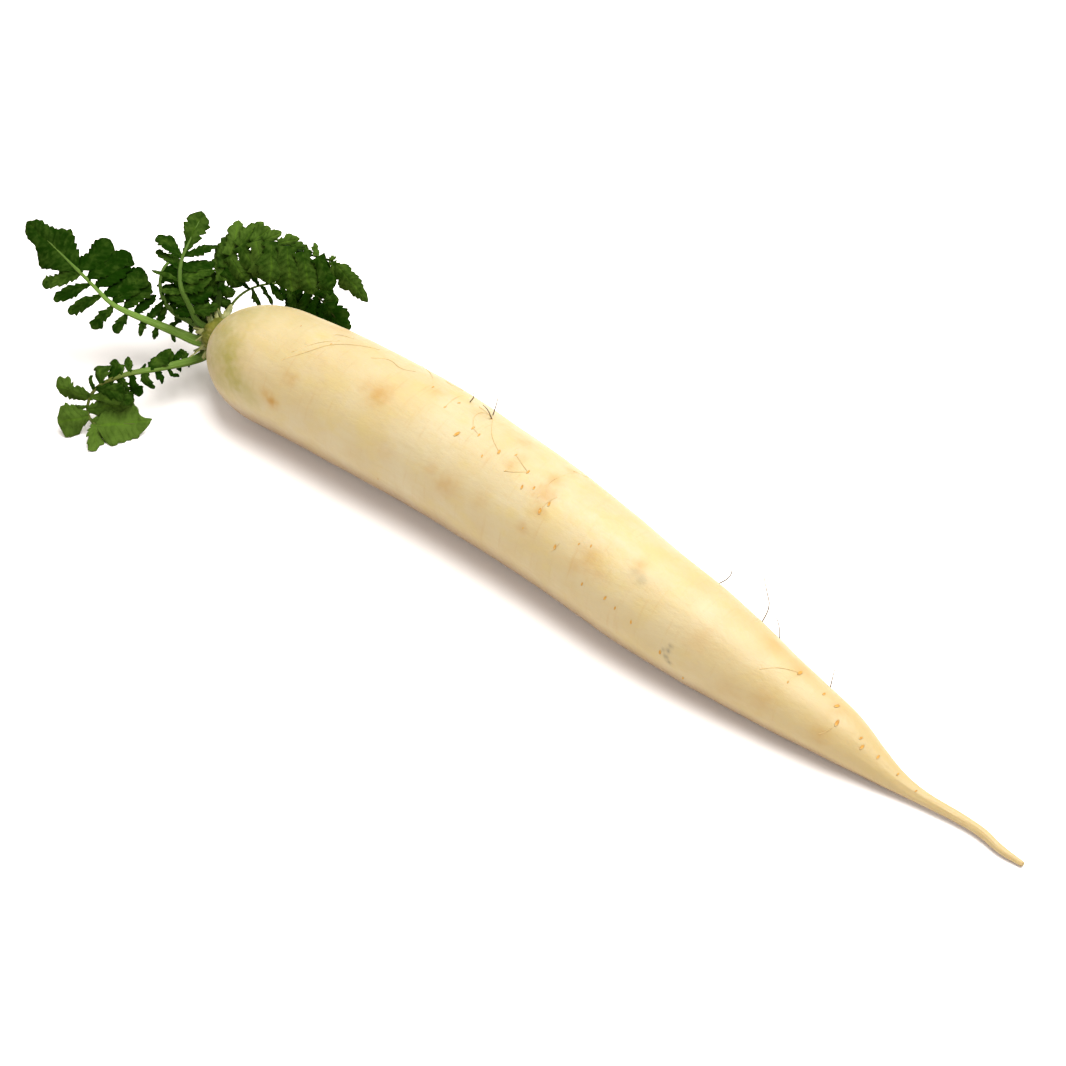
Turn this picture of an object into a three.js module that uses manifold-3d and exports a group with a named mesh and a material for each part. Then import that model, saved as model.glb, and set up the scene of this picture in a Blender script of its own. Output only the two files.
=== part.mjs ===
// A daikon radish, pulled with its leaves and laid on its side. Millimetres, +Z up.
// +X runs from the crown to the root's tip, and +Z is up from the surface it lies on.
// The origin is on the flat spot that the root rests on, under its weight.
import * as THREE from 'three';
import { mergeVertices } from 'three/addons/utils/BufferGeometryUtils.js';
import Module from 'manifold-3d';

const wasm = await Module();
wasm.setup();

// ---------------------------------------------------------------- driving dimensions

const FLAT_DEPTH = 0.6; // how much of the round belly the resting flat takes off
const JOIN_GAP = 0.3; // clearance between pieces that touch
const ROOT_SIDES = 24;
const SHOULDER_RINGS = 9;
const BODY_RINGS = 25; // from the shoulder to the tip, closer together towards the tip
const TIP_CROWDING = 1.25; // 1 would space the body's rings evenly
const CROWN_X = -147.5; // pole of the rounded shoulder, where the leaves come out
const SHOULDER_LENGTH = 40; // from the pole to the full width
const TIP_X = 311;

// The root's line and taper: x, sideways bow y, radius, and lift of its underside off the surface.
const ROOT_STATIONS = [
  [-150, -8.9, 28.9, 0],
  [-112, -6.6, 29.0, 0],
  [-80, -3.4, 29.6, 0],
  [-48, -1.3, 30.0, 0],
  [-16, -0.2, 29.5, 0],
  [16, -0.3, 28.5, 0],
  [48, -1.2, 27.5, 0],
  [80, -3.6, 26.1, 0],
  [112, -6.2, 24.3, 0],
  [144, -7.3, 22.1, 0],
  [172, -7.6, 18.8, 0.2],
  [198, -8.1, 15.2, 0.5],
  [212, -7.9, 13.2, 0.8],
  [224, -7.7, 11.0, 1.0],
  [236, -8.1, 7.8, 1.4],
  [248, -8.3, 4.9, 1.8],
  [260, -7.7, 3.2, 1.8],
  [279, -5.9, 2.5, 1.5],
  [290, -6.0, 2.3, 1.3],
  [299.5, -8.0, 2.1, 1.1],
  [311, -7.6, 1.3, 0.7],
];

// The crown: a short knob of stem on the shoulder, as distance past the pole and radius.
const CROWN_CENTRE = [-8.9, 28.3];
const CROWN_PROFILE = [[-5, 9.8], [-1.5, 10.6], [1.5, 10.2], [4.5, 8.4], [6.4, 5.8], [7.2, 2.6]];
const CROWN_SIDES = 18;

// Stumps of old leaf stalks on the crown: root point, tip, width, thickness.
const STUMPS = [
  { from: [-151, -7, 31], to: [-159.5, -5, 35], width: 6.0, thick: 3.0 },
  { from: [-149, -4, 33], to: [-154.5, -2.6, 39.5], width: 3.2, thick: 1.8 },
  { from: [-151, -12, 31], to: [-157.5, -15.5, 32.5], width: 4.2, thick: 2.2 },
  { from: [-150, -13, 24], to: [-155.5, -18.6, 20.6], width: 4.0, thick: 2.0 },
];

const STUMP_PROFILE = [[0, 1.1], [0.5, 1], [0.85, 0.92], [1, 0.6]]; // share of length, of size
const STUMP_SIDES = 8;
const STUMP_BACK = [0, 0.6, 0.8]; // the way a stump's flat back looks

const BLADE_THICKNESS = 0.7;
const BLADE_CROWDING = 1.3; // 1 would space a blade's rows evenly, more crowds them at its tip
const BLADE_END = 0.45; // what the rounded tip leaves of the outline's last width
const LOWEST_LEAF = 0.4; // a blade that reaches the surface lies on it
const RIPPLE = 0.14; // of the half width
const RIPPLE_TURN = 9; // radians along a blade
const LEAFLET_STEPS = [[13, 4], [0, 3]]; // rows of a blade longer than so much
const LOBE_STEPS = 7;
const SIMPLER_BY = 0.02; // how far a leaf's faces may move where small ones are merged
const RIB_SIDES = 6;
const RIB_STEP = 7; // distance between rings along a leaf's rib
const RIB_FLATNESS = 0.85; // depth of the rib against its width
const RIB_SAMPLES = 240; // points of the smooth line that a rib is measured on
const TANGENT_BACK = 5; // samples behind and ahead that give the rib's direction
const TANGENT_AHEAD = 4;
const SLIM_END = 0.85; // share of the rib where it has its end width
const SLIM_POWER = 0.7;
const FLARE_END = 0.1; // share of the rib where the flare at its foot ends
const FLARE = 3; // growth of the flare per share of the rib
const SINK_FROM = 0.12; // shares of the rib between which it drops behind the blades
const SINK_TO = 0.3;
const SIDE_STAGGER = 0.02; // share of the rib by which the two sides' leaflets are offset
const TWIST_VARIATION = 16; // degrees at a blade's tip, either way
const SWAY_VARIATION = 0.1; // of a blade's length at its tip, either way
const CUP_VARIATION = 0.15; // either way

// A blade's half width along its length, as shares of both.
const PADDLE = [[0.17, 0.62], [0.42, 0.94], [0.7, 1.06], [0.9, 0.92], [1, 0.62]];
const POINTED = [[0.17, 0.74], [0.42, 1.0], [0.7, 0.84], [0.9, 0.52], [1, 0.26]];
const HEART_LOBE = [[0, 0.16], [0.16, 0.8], [0.36, 1.06], [0.62, 0.86], [0.88, 0.56], [1, 0.3]];
const CLUB_LOBE = [[0, 0.16], [0.2, 0.46], [0.5, 0.84], [0.75, 1.06], [0.92, 0.92], [1, 0.6]];
const TOOTH_DEPTH = 0.13; // of the half width

// A leaf: its rib from inside the crown to the end lobe, the stalk's width at both ends, how
// far the rib sinks behind the blades, the way its upper face looks, the stretch of rib with
// leaflets, and each side's leaflets [length, width, extra lean] from the stalk outwards. Lean
// is the angle between leaflet and rib, droop the angle under the blade's plane, both at the
// first and the last leaflet, and roll tips a side's leaflets about their midlines, in degrees.
// Leaflets before the pointed share of their side are pointed, and the others are paddles.
// Foot is a leaflet's first half width, and cup how far its edges hang, as shares of the half
// width.
const LEAVES = [
  {
    name: 'leaf_a',
    rib: [
      [-149, -11, 26], [-156, -15.5, 25], [-165.2, -19, 27], [-174.5, -26.2, 33], [-184.6, -32.5, 38],
      [-192.8, -35.9, 42], [-200.6, -36.4, 46], [-208.4, -36.8, 50], [-215, -37, 53],
    ],
    stalk: [6.4, 1.7],
    sink: 0,
    face: [0.42, -0.5, 0.75],
    span: [0.3, 0.96],
    plus: [
      [7, 3.2, 14], [10, 4.4, -10], [13, 5, 6], [15, 6.4], [19, 9.6], [22, 10.6], [23.5, 11.4],
      [24, 12], [23, 13, 4], [22, 15, -4],
    ],
    minus: [
      [6, 2.8, 10], [7.5, 3.2, -8], [9, 4, 8], [12, 5.2, -4], [16, 5.8], [19, 6.2], [20, 6.4],
      [20.5, 9],
    ],
    leanPlus: [112, 88],
    leanMinus: [112, 58],
    leanWander: 5,
    droopPlus: [0, 0],
    droopMinus: [4, 4],
    droopWander: 7,
    roll: [18, 0],
    pointed: [0.35, 0.3],
    foot: 0.24,
    curl: 14,
    cup: 0.2,
    lobe: [36, 19],
    lobeFrom: 0.97,
    lobeShape: HEART_LOBE,
    lobeTurn: 0,
    lobeCurl: 10,
  },
  {
    name: 'leaf_b',
    rib: [
      [-150, -11, 21], [-153, -17.5, 17.5], [-153.3, -26, 20], [-155.5, -36.1, 23],
      [-158.6, -45.3, 25], [-163.3, -53.5, 25.5], [-167.2, -60.5, 24.5], [-170.4, -65.3, 22.5],
      [-172.8, -68.8, 19], [-173.4, -71.8, 15], [-172.4, -74.2, 11.5], [-169.5, -75.8, 8.5],
      [-164.7, -75.8, 6.2], [-159.5, -73.6, 5.4],
    ],
    stalk: [5.6, 1.3],
    sink: 0.5,
    face: [0.22, -0.34, 0.92],
    span: [0.2, 0.92],
    plus: [
      [6, 3, 20], [8, 4, 4], [11, 5.4, 12], [8, 4.6, -14], [12, 6.4, 10], [8, 5, -14], [9, 7, 16],
      [9, 7.4, -10], [9, 7.4, 10], [9, 8, -12], [8, 7], [20, 12], [6, 3], [15.5, 15, 6], [12.5, 9.5],
    ],
    minus: [
      [6, 2.8, 20], [8, 3.4, -12], [9, 4.2, 10], [10, 5.6, -6], [12, 7.4, 12], [13, 8.4, -10], [15, 9],
      [17, 9.4, 10], [18, 10, -8], [18, 10.6], [18, 12.4, 4], [12, 8],
    ],
    leanPlus: [138, 72],
    leanMinus: [126, 84],
    leanWander: 9,
    droopPlus: [-8, -8],
    droopMinus: [26, 4],
    droopWander: 12,
    roll: [16, -14],
    pointed: [0.6, 0.42],
    foot: 0.4,
    curl: 26,
    cup: 0.3,
    lobe: [27, 22],
    lobeFrom: 0.88,
    lobeShape: HEART_LOBE,
    lobeTurn: -42,
    lobeCurl: 2,
  },
  {
    name: 'leaf_c',
    rib: [
      [-151, -10, 31], [-156, -14, 36], [-159.7, -14.6, 43.6], [-164.5, -14.4, 51.7],
      [-169, -10.5, 56.6], [-172.3, -5.5, 60.3], [-174.1, -0.4, 63.6],
    ],
    stalk: [4.4, 1.9],
    sink: 0,
    face: [0.46, -0.54, 0.7],
    span: [0.3, 0.9],
    plus: [[13, 8], [14, 8.4, 5], [15, 8.4, 6], [16.5, 9, 3], [17, 9, 4], [18, 6.4, -11]],
    minus: [[9, 6], [9, 6, -6], [10, 4.4, 6], [16.5, 3, 4], [16.5, 5], [16.5, 8]],
    leanPlus: [96, 62],
    leanMinus: [60, 50],
    leanWander: 3,
    droopPlus: [0, -6],
    droopMinus: [6, 0],
    droopWander: 10,
    roll: [18, -18],
    pointed: [1.1, 0.7],
    foot: 0.3,
    curl: 18,
    cup: 0.22,
    lobe: [22.5, 11.6],
    lobeFrom: 0.93,
    lobeShape: CLUB_LOBE,
    lobeTurn: 4,
    lobeCurl: 4,
  },
  {
    name: 'leaf_d',
    rib: [
      [-151, -8, 31], [-153.8, -3, 38.1], [-154.9, 1.6, 47.5], [-156.5, 7, 56], [-155.8, 12, 62.7],
      [-152.3, 17, 66.3], [-147.2, 21.5, 68], [-141.9, 25.5, 67.8], [-135.4, 29, 66.6],
      [-129.9, 32, 64.6], [-125.1, 35, 62.9], [-121, 37.6, 61.7], [-117.9, 40.4, 59.9],
      [-115.3, 42.3, 56.7],
    ],
    stalk: [4, 1.1],
    sink: 1.8,
    face: [0.46, -0.54, 0.7],
    span: [0.06, 0.96],
    plus: [
      [6, 5, -20], [7, 6, -20], [8, 6.4, 10], [12, 8, 16], [16, 10, 10], [19, 12, -2], [20, 13, -5],
      [20, 13.4, -2], [22, 14], [21, 13], [18, 11, -8], [10, 6, -4],
    ],
    minus: [
      [13, 8, 42], [18, 9, 4], [17, 10, 24], [18, 9, 4], [20, 10, -4], [19, 10, -4], [18, 10, 2],
      [13, 8, 8], [11, 7, 12], [12, 7], [10, 6, -8], [6, 5, -10], [10.5, 4.6, 84], [5, 4],
    ],
    leanPlus: [128, 46],
    leanMinus: [8, 24],
    leanWander: 4,
    droopPlus: [-10, -6],
    droopMinus: [2, 14],
    droopWander: 8,
    roll: [11, -15],
    pointed: [0, 1.1],
    foot: 0.85,
    curl: 46,
    cup: 0.5,
    lobe: [28, 11],
    lobeFrom: 0.97,
    lobeShape: HEART_LOBE,
    lobeTurn: 11,
    lobeCurl: 14,
  },
  {
    name: 'leaf_e',
    rib: [
      [-150, -3, 28.5], [-152.4, 2.2, 33], [-151.9, 8, 38.3], [-150.2, 16, 40.5], [-148.1, 26, 38.5],
      [-143.3, 36, 34.8], [-137.1, 43, 28.7], [-129.3, 47, 21.5],
    ],
    stalk: [1.5, 0.9],
    sink: 0.4,
    face: [0.46, -0.54, 0.7],
    span: [0.36, 0.97],
    plus: [
      [11, 4.4, -22], [12, 4.6, -24], [12, 4.8, -24], [12, 5, -20], [14, 8], [17, 12], [20, 13],
      [20, 12], [20, 12],
    ],
    minus: [
      [7, 3], [8, 4, 8], [10, 5], [11, 7, -6], [14, 9], [15, 10, 6], [14, 9], [11, 8, -6], [9, 7],
    ],
    leanPlus: [84, 50],
    leanMinus: [84, 40],
    leanWander: 8,
    droopPlus: [10, 0],
    droopMinus: [10, 4],
    droopWander: 12,
    roll: [18, -16],
    pointed: [0.4, 0.3],
    foot: 0.34,
    curl: 24,
    cup: 0.3,
    lobe: [19, 12],
    lobeFrom: 0.97,
    lobeShape: HEART_LOBE,
    lobeTurn: 14,
    lobeCurl: 12,
  },
  {
    name: 'leaf_f',
    rib: [
      [-152, -8, 28.5], [-160, -9.8, 28], [-168.1, -11, 28.7], [-174.3, -13, 31],
      [-181.2, -12.4, 34.5], [-187.4, -8.5, 38.5], [-191.4, -2.3, 42], [-192, 4.4, 44],
    ],
    stalk: [3.8, 1.5],
    sink: 0,
    face: [0.46, -0.54, 0.7],
    span: [0.16, 0.97],
    plus: [
      [12, 9], [15, 10, 6], [17, 11.5], [19, 12, -6], [20, 12], [19, 12, 6], [16, 11], [12, 9, -4],
      [8, 7],
    ],
    minus: [[5, 4], [5, 4, 8], [4.5, 4], [3.5, 3, -6], [3, 2.4], [2.8, 2.4, 6], [2.8, 2.4], [3, 2.4]],
    leanPlus: [96, 58],
    leanMinus: [96, 64],
    leanWander: 7,
    droopPlus: [6, 4],
    droopMinus: [10, 8],
    droopWander: 10,
    roll: [20, -14],
    pointed: [0.2, 1.1],
    foot: 0.5,
    curl: 24,
    cup: 0.3,
    lobe: [8, 7],
    lobeFrom: 0.95,
    lobeShape: HEART_LOBE,
    lobeTurn: 0,
    lobeCurl: 16,
  },
];

const COLOURS = {
  root: { color: 0xefdcae, roughness: 0.5 },
  crown: { color: 0xa7a64a, roughness: 0.7 },
  leaf: { color: 0x2f6a1e, roughness: 0.6 },
};

// ---------------------------------------------------------------- small helpers

const DEGREE = Math.PI / 180;

// A fixed draw between -1 and 1 for whole number i.
function wobble(i) {
  const value = Math.sin(i * 12.9898 + 4.1414) * 43758.5453;
  return (value - Math.floor(value)) * 2 - 1;
}

const mix = (pair, share) => pair[0] + (pair[1] - pair[0]) * share;

// The smooth row of numbers at t between the rows of a table, where t counts rows.
function smoothRow(rows, t) {
  const last = rows.length - 1;
  const index = Math.min(Math.floor(t), last - 1);
  const f = t - index;
  const [a, b, c, d] = [-1, 0, 1, 2].map((k) => rows[Math.max(0, Math.min(last, index + k))]);
  return b.map((_, n) => b[n] + 0.5 * f * (c[n] - a[n]
    + f * (2 * a[n] - 5 * b[n] + 4 * c[n] - d[n]
    + f * (3 * (b[n] - c[n]) + d[n] - a[n]))));
}

// The straight-line value of a table of [place, value] rows at a place.
function linearValue(table, place) {
  const next = Math.max(1, table.findIndex(([at]) => at >= place));
  const [[x0, y0], [x1, y1]] = [table[next - 1], table[next]];
  return y0 + ((y1 - y0) * (place - x0)) / (x1 - x0);
}

// A closed geometry through rings of points, the first and last closed by fans.
function loft(rings) {
  const sides = rings[0].length;
  const points = rings.flat();
  const index = [];
  for (let ring = 0; ring < rings.length - 1; ring += 1) {
    for (let side = 0; side < sides; side += 1) {
      const [a, b] = [ring * sides + side, ring * sides + ((side + 1) % sides)];
      index.push(a, b, b + sides, a, b + sides, a + sides);
    }
  }
  const centre = (ring) => ring.reduce((sum, p) => sum.add(p), new THREE.Vector3()).divideScalar(sides);
  const first = points.push(centre(rings[0])) - 1;
  const end = points.push(centre(rings.at(-1))) - 1;
  const offset = (rings.length - 1) * sides;
  for (let side = 0; side < sides; side += 1) {
    const next = (side + 1) % sides;
    index.push(first, next, side, end, offset + side, offset + next);
  }
  return new THREE.BufferGeometry().setFromPoints(points).setIndex(index);
}

// A ring of points: centre, two half-axis vectors.
function ellipseRing(centre, u, v, sides) {
  return Array.from({ length: sides }, (_, k) => {
    const angle = (2 * Math.PI * k) / sides;
    return centre.clone().addScaledVector(u, Math.cos(angle)).addScaledVector(v, Math.sin(angle));
  });
}

function toSolid(geometry) {
  geometry.deleteAttribute('normal');
  geometry.deleteAttribute('uv');
  const merged = mergeVertices(geometry, 1e-4);
  const mesh = new wasm.Mesh({
    numProp: 3,
    vertProperties: Float32Array.from(merged.attributes.position.array),
    triVerts: Uint32Array.from(merged.index.array),
  });
  return new wasm.Manifold(mesh);
}

function toMesh(solid, name, look) {
  const { vertProperties, triVerts } = solid.getMesh();
  const geometry = new THREE.BufferGeometry();
  geometry.setAttribute('position', new THREE.BufferAttribute(vertProperties, 3));
  geometry.setIndex(new THREE.BufferAttribute(triVerts, 1));
  geometry.computeVertexNormals();
  const mesh = new THREE.Mesh(geometry, new THREE.MeshStandardMaterial({ metalness: 0, ...look }));
  mesh.name = name;
  return mesh;
}

// ---------------------------------------------------------------- root

// The root's section at x: centre and radius, with the shoulder rounded off to the pole.
function rootSection(x) {
  let row = 0;
  while (row < ROOT_STATIONS.length - 2 && ROOT_STATIONS[row + 1][0] < x) row += 1;
  const span = ROOT_STATIONS[row + 1][0] - ROOT_STATIONS[row][0];
  const [, y, full, lift] = smoothRow(ROOT_STATIONS, row + (x - ROOT_STATIONS[row][0]) / span);
  const inShoulder = Math.max(0, CROWN_X + SHOULDER_LENGTH - x) / SHOULDER_LENGTH;
  const radius = full * Math.sqrt(Math.max(0, 1 - inShoulder ** 2));
  return { y, z: full - FLAT_DEPTH + lift, radius };
}

// The whole taproot, grown outwards by a clearance where its neighbours are cut to it.
function rootSolid(clearance) {
  const places = [];
  for (let k = 1; k <= SHOULDER_RINGS; k += 1) {
    places.push(CROWN_X + SHOULDER_LENGTH * (1 - Math.cos((k / SHOULDER_RINGS) * 90 * DEGREE)));
  }
  const bodyStart = CROWN_X + SHOULDER_LENGTH;
  for (let k = 1; k <= BODY_RINGS; k += 1) {
    places.push(bodyStart + (TIP_X - bodyStart) * (1 - (1 - k / BODY_RINGS) ** TIP_CROWDING));
  }
  const rings = places.map((x) => {
    const { y, z, radius } = rootSection(x);
    const size = radius + clearance;
    return ellipseRing(new THREE.Vector3(x, y, z), new THREE.Vector3(0, size, 0),
      new THREE.Vector3(0, 0, size), ROOT_SIDES);
  });
  rings[0].forEach((point) => { point.x -= clearance; });
  return toSolid(loft(rings));
}

function buildRoot() {
  const ground = new THREE.BoxGeometry(700, 120, 20).translate(0, 0, -10);
  return rootSolid(0).subtract(toSolid(ground));
}

// ---------------------------------------------------------------- crown

function crownKnob(clearance) {
  const [y, z] = CROWN_CENTRE;
  const rings = CROWN_PROFILE.map(([past, radius]) => {
    const x = CROWN_X - past - (past > 0 ? clearance : 0);
    return ellipseRing(new THREE.Vector3(x, y, z), new THREE.Vector3(0, 0, radius + clearance),
      new THREE.Vector3(0, radius + clearance, 0), CROWN_SIDES);
  });
  return toSolid(loft(rings));
}

function stump({ from, to, width, thick }, clearance) {
  const start = new THREE.Vector3(...from);
  const end = new THREE.Vector3(...to);
  const along = end.clone().sub(start).normalize();
  const across = new THREE.Vector3(...STUMP_BACK).cross(along).normalize();
  const up = along.clone().cross(across);
  const rings = STUMP_PROFILE.map(([share, size]) => ellipseRing(
    start.clone().lerp(end, share),
    across.clone().multiplyScalar((size * width) / 2 + clearance),
    up.clone().multiplyScalar((size * thick) / 2 + clearance),
    STUMP_SIDES,
  ));
  rings.at(-1).forEach((point) => point.addScaledVector(along, clearance));
  return toSolid(loft(rings));
}

// The knob with its stumps, grown by a clearance where the leaves are cut to it.
function crownSolid(clearance) {
  return STUMPS.reduce((solid, one) => solid.add(stump(one, clearance)), crownKnob(clearance));
}

// ---------------------------------------------------------------- leaves

// The rib's points, arc length and frame at any share of its length.
function ribLine({ rib, face: outlook }) {
  const points = [];
  const lengths = [0];
  for (let k = 0; k <= RIB_SAMPLES; k += 1) {
    points.push(new THREE.Vector3(...smoothRow(rib, (k / RIB_SAMPLES) * (rib.length - 1))));
    if (k > 0) lengths.push(lengths[k - 1] + points[k].distanceTo(points[k - 1]));
  }
  const length = lengths[RIB_SAMPLES];
  const at = (share) => {
    const target = share * length;
    const found = lengths.findIndex((value) => value >= target - 1e-9);
    const next = Math.max(1, found);
    const f = (target - lengths[next - 1]) / (lengths[next] - lengths[next - 1]);
    const point = points[next - 1].clone().lerp(points[next], f);
    const low = Math.max(0, next - TANGENT_BACK);
    const high = Math.min(RIB_SAMPLES, next + TANGENT_AHEAD);
    const along = points[high].clone().sub(points[low]).normalize();
    const across = along.clone().cross(new THREE.Vector3(...outlook)).normalize();
    const face = across.clone().cross(along);
    return { point, along, face, across };
  };
  return { length, at };
}

function stalkWidth(leaf, share) {
  const slim = mix(leaf.stalk, Math.min(1, share / SLIM_END) ** SLIM_POWER);
  const flare = share < FLARE_END ? 1 + (FLARE_END - share) * FLARE : 1;
  return slim * flare;
}

function ribSolid(leaf, line) {
  const rings = [];
  const steps = Math.round(line.length / RIB_STEP);
  for (let k = 0; k <= steps; k += 1) {
    const share = (k / steps) * leaf.lobeFrom;
    const { point, face, across } = line.at(share);
    const ramp = Math.min(1, Math.max(0, (share - SINK_FROM) / (SINK_TO - SINK_FROM)));
    const half = stalkWidth(leaf, share) / 2;
    rings.push(ellipseRing(point.addScaledVector(face, -leaf.sink * ramp),
      across.clone().multiplyScalar(half), face.clone().multiplyScalar(-half * RIB_FLATNESS), RIB_SIDES));
  }
  return toSolid(loft(rings));
}

// A toothed blade from a point, along a direction, with its upper side facing up. It bends
// down by curl over its length, sways and twists a little, and its edges hang below its midline.
function bladeSolid({ point, along, face, size, outline, curl, cup, steps, seed }) {
  const [length, width] = size;
  const across = along.clone().cross(face);
  const centre = point.clone();
  const sway = SWAY_VARIATION * wobble(seed + 0.2) * length;
  const twist = TWIST_VARIATION * wobble(seed + 0.7) * DEGREE;
  const hang = cup + CUP_VARIATION * wobble(seed + 0.4);
  const rows = [];
  let before = 0;
  for (let k = 0; k <= steps; k += 1) {
    const share = 1 - (1 - k / steps) ** BLADE_CROWDING;
    const bend = share * curl * DEGREE;
    const heading = along.clone().multiplyScalar(Math.cos(bend)).addScaledVector(face, -Math.sin(bend));
    const raised = face.clone().multiplyScalar(Math.cos(bend)).addScaledVector(along, Math.sin(bend));
    centre.addScaledVector(heading, length * (share - before));
    before = share;
    const [cos, sin] = [Math.cos(twist * share), Math.sin(twist * share)];
    const side = across.clone().multiplyScalar(cos).addScaledVector(raised, sin);
    const up = raised.clone().multiplyScalar(cos).addScaledVector(across, -sin);
    const tooth = k > 0 && k < steps && k % 2 === 1 ? 1 - TOOTH_DEPTH : 1;
    const half = (width / 2) * linearValue(outline, share) * (k < steps ? tooth : BLADE_END);
    const ripple = RIPPLE * half * Math.sin(share * RIPPLE_TURN + seed);
    const row = [-1, 0, 1].map((j) => {
      const lower = Math.abs(j) * (half * hang + j * ripple);
      const place = centre.clone().addScaledVector(side, j * half + sway * share ** 2);
      place.addScaledVector(up, -lower);
      place.z = Math.max(LOWEST_LEAF, place.z);
      return place;
    });
    rows.push({ row, up });
  }
  return toSolid(slab(rows));
}

// A thin closed slab around rows of three points, split alike on both faces.
function slab(rows) {
  const points = [];
  rows.forEach(({ row, up }) => row.forEach((p) => {
    points.push(p.clone().addScaledVector(up, BLADE_THICKNESS / 2));
    points.push(p.clone().addScaledVector(up, -BLADE_THICKNESS / 2));
  }));
  const vertex = (k, j, under) => (k * 3 + j) * 2 + under;
  const index = [];
  const quad = (a, b, c, d) => index.push(a, b, c, a, c, d);
  const last = rows.length - 1;
  for (let k = 0; k < last; k += 1) {
    for (const j of [0, 1]) {
      quad(vertex(k, j, 0), vertex(k, j + 1, 0), vertex(k + 1, j + 1, 0), vertex(k + 1, j, 0));
      const [a, b, c, d] = [vertex(k, j, 1), vertex(k, j + 1, 1), vertex(k + 1, j + 1, 1), vertex(k + 1, j, 1)];
      index.push(a, c, b, a, d, c);
    }
    quad(vertex(k, 0, 1), vertex(k, 0, 0), vertex(k + 1, 0, 0), vertex(k + 1, 0, 1));
    quad(vertex(k, 2, 0), vertex(k, 2, 1), vertex(k + 1, 2, 1), vertex(k + 1, 2, 0));
  }
  for (const j of [0, 1]) {
    quad(vertex(0, j, 1), vertex(0, j + 1, 1), vertex(0, j + 1, 0), vertex(0, j, 0));
    quad(vertex(last, j, 0), vertex(last, j + 1, 0), vertex(last, j + 1, 1), vertex(last, j, 1));
  }
  return new THREE.BufferGeometry().setFromPoints(points).setIndex(index);
}

// One leaflet: it leans out from the rib to one side, droops under the blade's plane and is
// tipped about its midline.
function leafletSolid(leaf, line, sign, k, seed) {
  const [sizes, leans, droops, roll, pointed] = sign > 0
    ? [leaf.plus, leaf.leanPlus, leaf.droopPlus, leaf.roll[0], leaf.pointed[0]]
    : [leaf.minus, leaf.leanMinus, leaf.droopMinus, leaf.roll[1], leaf.pointed[1]];
  const [length, width, extraLean = 0] = sizes[k];
  const share = k / (sizes.length - 1);
  const place = mix(leaf.span, share) - (sign > 0 ? 0 : SIDE_STAGGER);
  const { point, along, face, across } = line.at(place);
  const lean = (mix(leans, share) + extraLean + leaf.leanWander * wobble(seed)) * DEGREE;
  const droop = (mix(droops, share) + leaf.droopWander * wobble(seed + 0.5)) * DEGREE;
  const flat = along.clone().multiplyScalar(Math.cos(lean)).addScaledVector(across, sign * Math.sin(lean));
  const heading = flat.clone().multiplyScalar(Math.cos(droop)).addScaledVector(face, -Math.sin(droop));
  const raised = face.clone().multiplyScalar(Math.cos(droop)).addScaledVector(flat, Math.sin(droop));
  const up = raised.clone().multiplyScalar(Math.cos(roll * DEGREE))
    .addScaledVector(heading.clone().cross(raised), -Math.sin(roll * DEGREE));
  return bladeSolid({
    point,
    along: heading,
    face: up,
    size: [length, width],
    outline: [[0, leaf.foot], ...(share < pointed ? POINTED : PADDLE)],
    curl: leaf.curl,
    cup: leaf.cup,
    steps: LEAFLET_STEPS.find(([from]) => length > from)[1],
    seed,
  });
}

function endLobe(leaf, line, leafNumber) {
  const { point, along, across, face } = line.at(leaf.lobeFrom);
  const turn = leaf.lobeTurn * DEGREE;
  return bladeSolid({
    point,
    along: along.clone().multiplyScalar(Math.cos(turn)).addScaledVector(across, Math.sin(turn)),
    face,
    size: leaf.lobe,
    outline: leaf.lobeShape,
    curl: leaf.lobeCurl,
    cup: leaf.cup,
    steps: LOBE_STEPS,
    seed: leafNumber,
  });
}

function buildLeaf(leaf, leafNumber) {
  const line = ribLine(leaf);
  const parts = [ribSolid(leaf, line), endLobe(leaf, line, leafNumber)];
  for (const [sign, sizes] of [[1, leaf.plus], [-1, leaf.minus]]) {
    sizes.forEach((_, k) => {
      const seed = leafNumber * 100 + k * 2 + (sign > 0 ? 0 : 1);
      parts.push(leafletSolid(leaf, line, sign, k, seed));
    });
  }
  return parts.reduce((sum, solid) => sum.add(solid));
}

// The largest body of a solid, without crumbs and pockets where blades cross.
function mainBody(solid) {
  const bodies = solid.asOriginal().simplify(SIMPLER_BY).decompose();
  return bodies.reduce((main, body) => (body.volume() > main.volume() ? body : main));
}

// ---------------------------------------------------------------- the radish

const daikon = new THREE.Group();
daikon.name = 'daikon_radish';

const rootClearance = rootSolid(JOIN_GAP);
const crownClearance = crownSolid(JOIN_GAP);
daikon.add(toMesh(buildRoot(), 'root', COLOURS.root));
daikon.add(toMesh(crownSolid(0).subtract(rootClearance), 'crown', COLOURS.crown));
LEAVES.forEach((leaf, number) => {
  const solid = mainBody(buildLeaf(leaf, number).subtract(crownClearance).subtract(rootClearance));
  daikon.add(toMesh(solid, leaf.name, COLOURS.leaf));
});

export default daikon;
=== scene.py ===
# %% [markdown]
# # A daikon radish, pulled with its leaves
# The solid model comes first: it holds the true size and place of the root, the crown and six
# leaves. This script keeps those places and puts finer pieces on them, each with a finish
# of its own. Every length is written in millimetres and multiplied by MM, because Blender
# works in metres.

import math

import bpy
from mathutils import Matrix, Vector, noise
from mathutils.bvhtree import BVHTree


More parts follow.
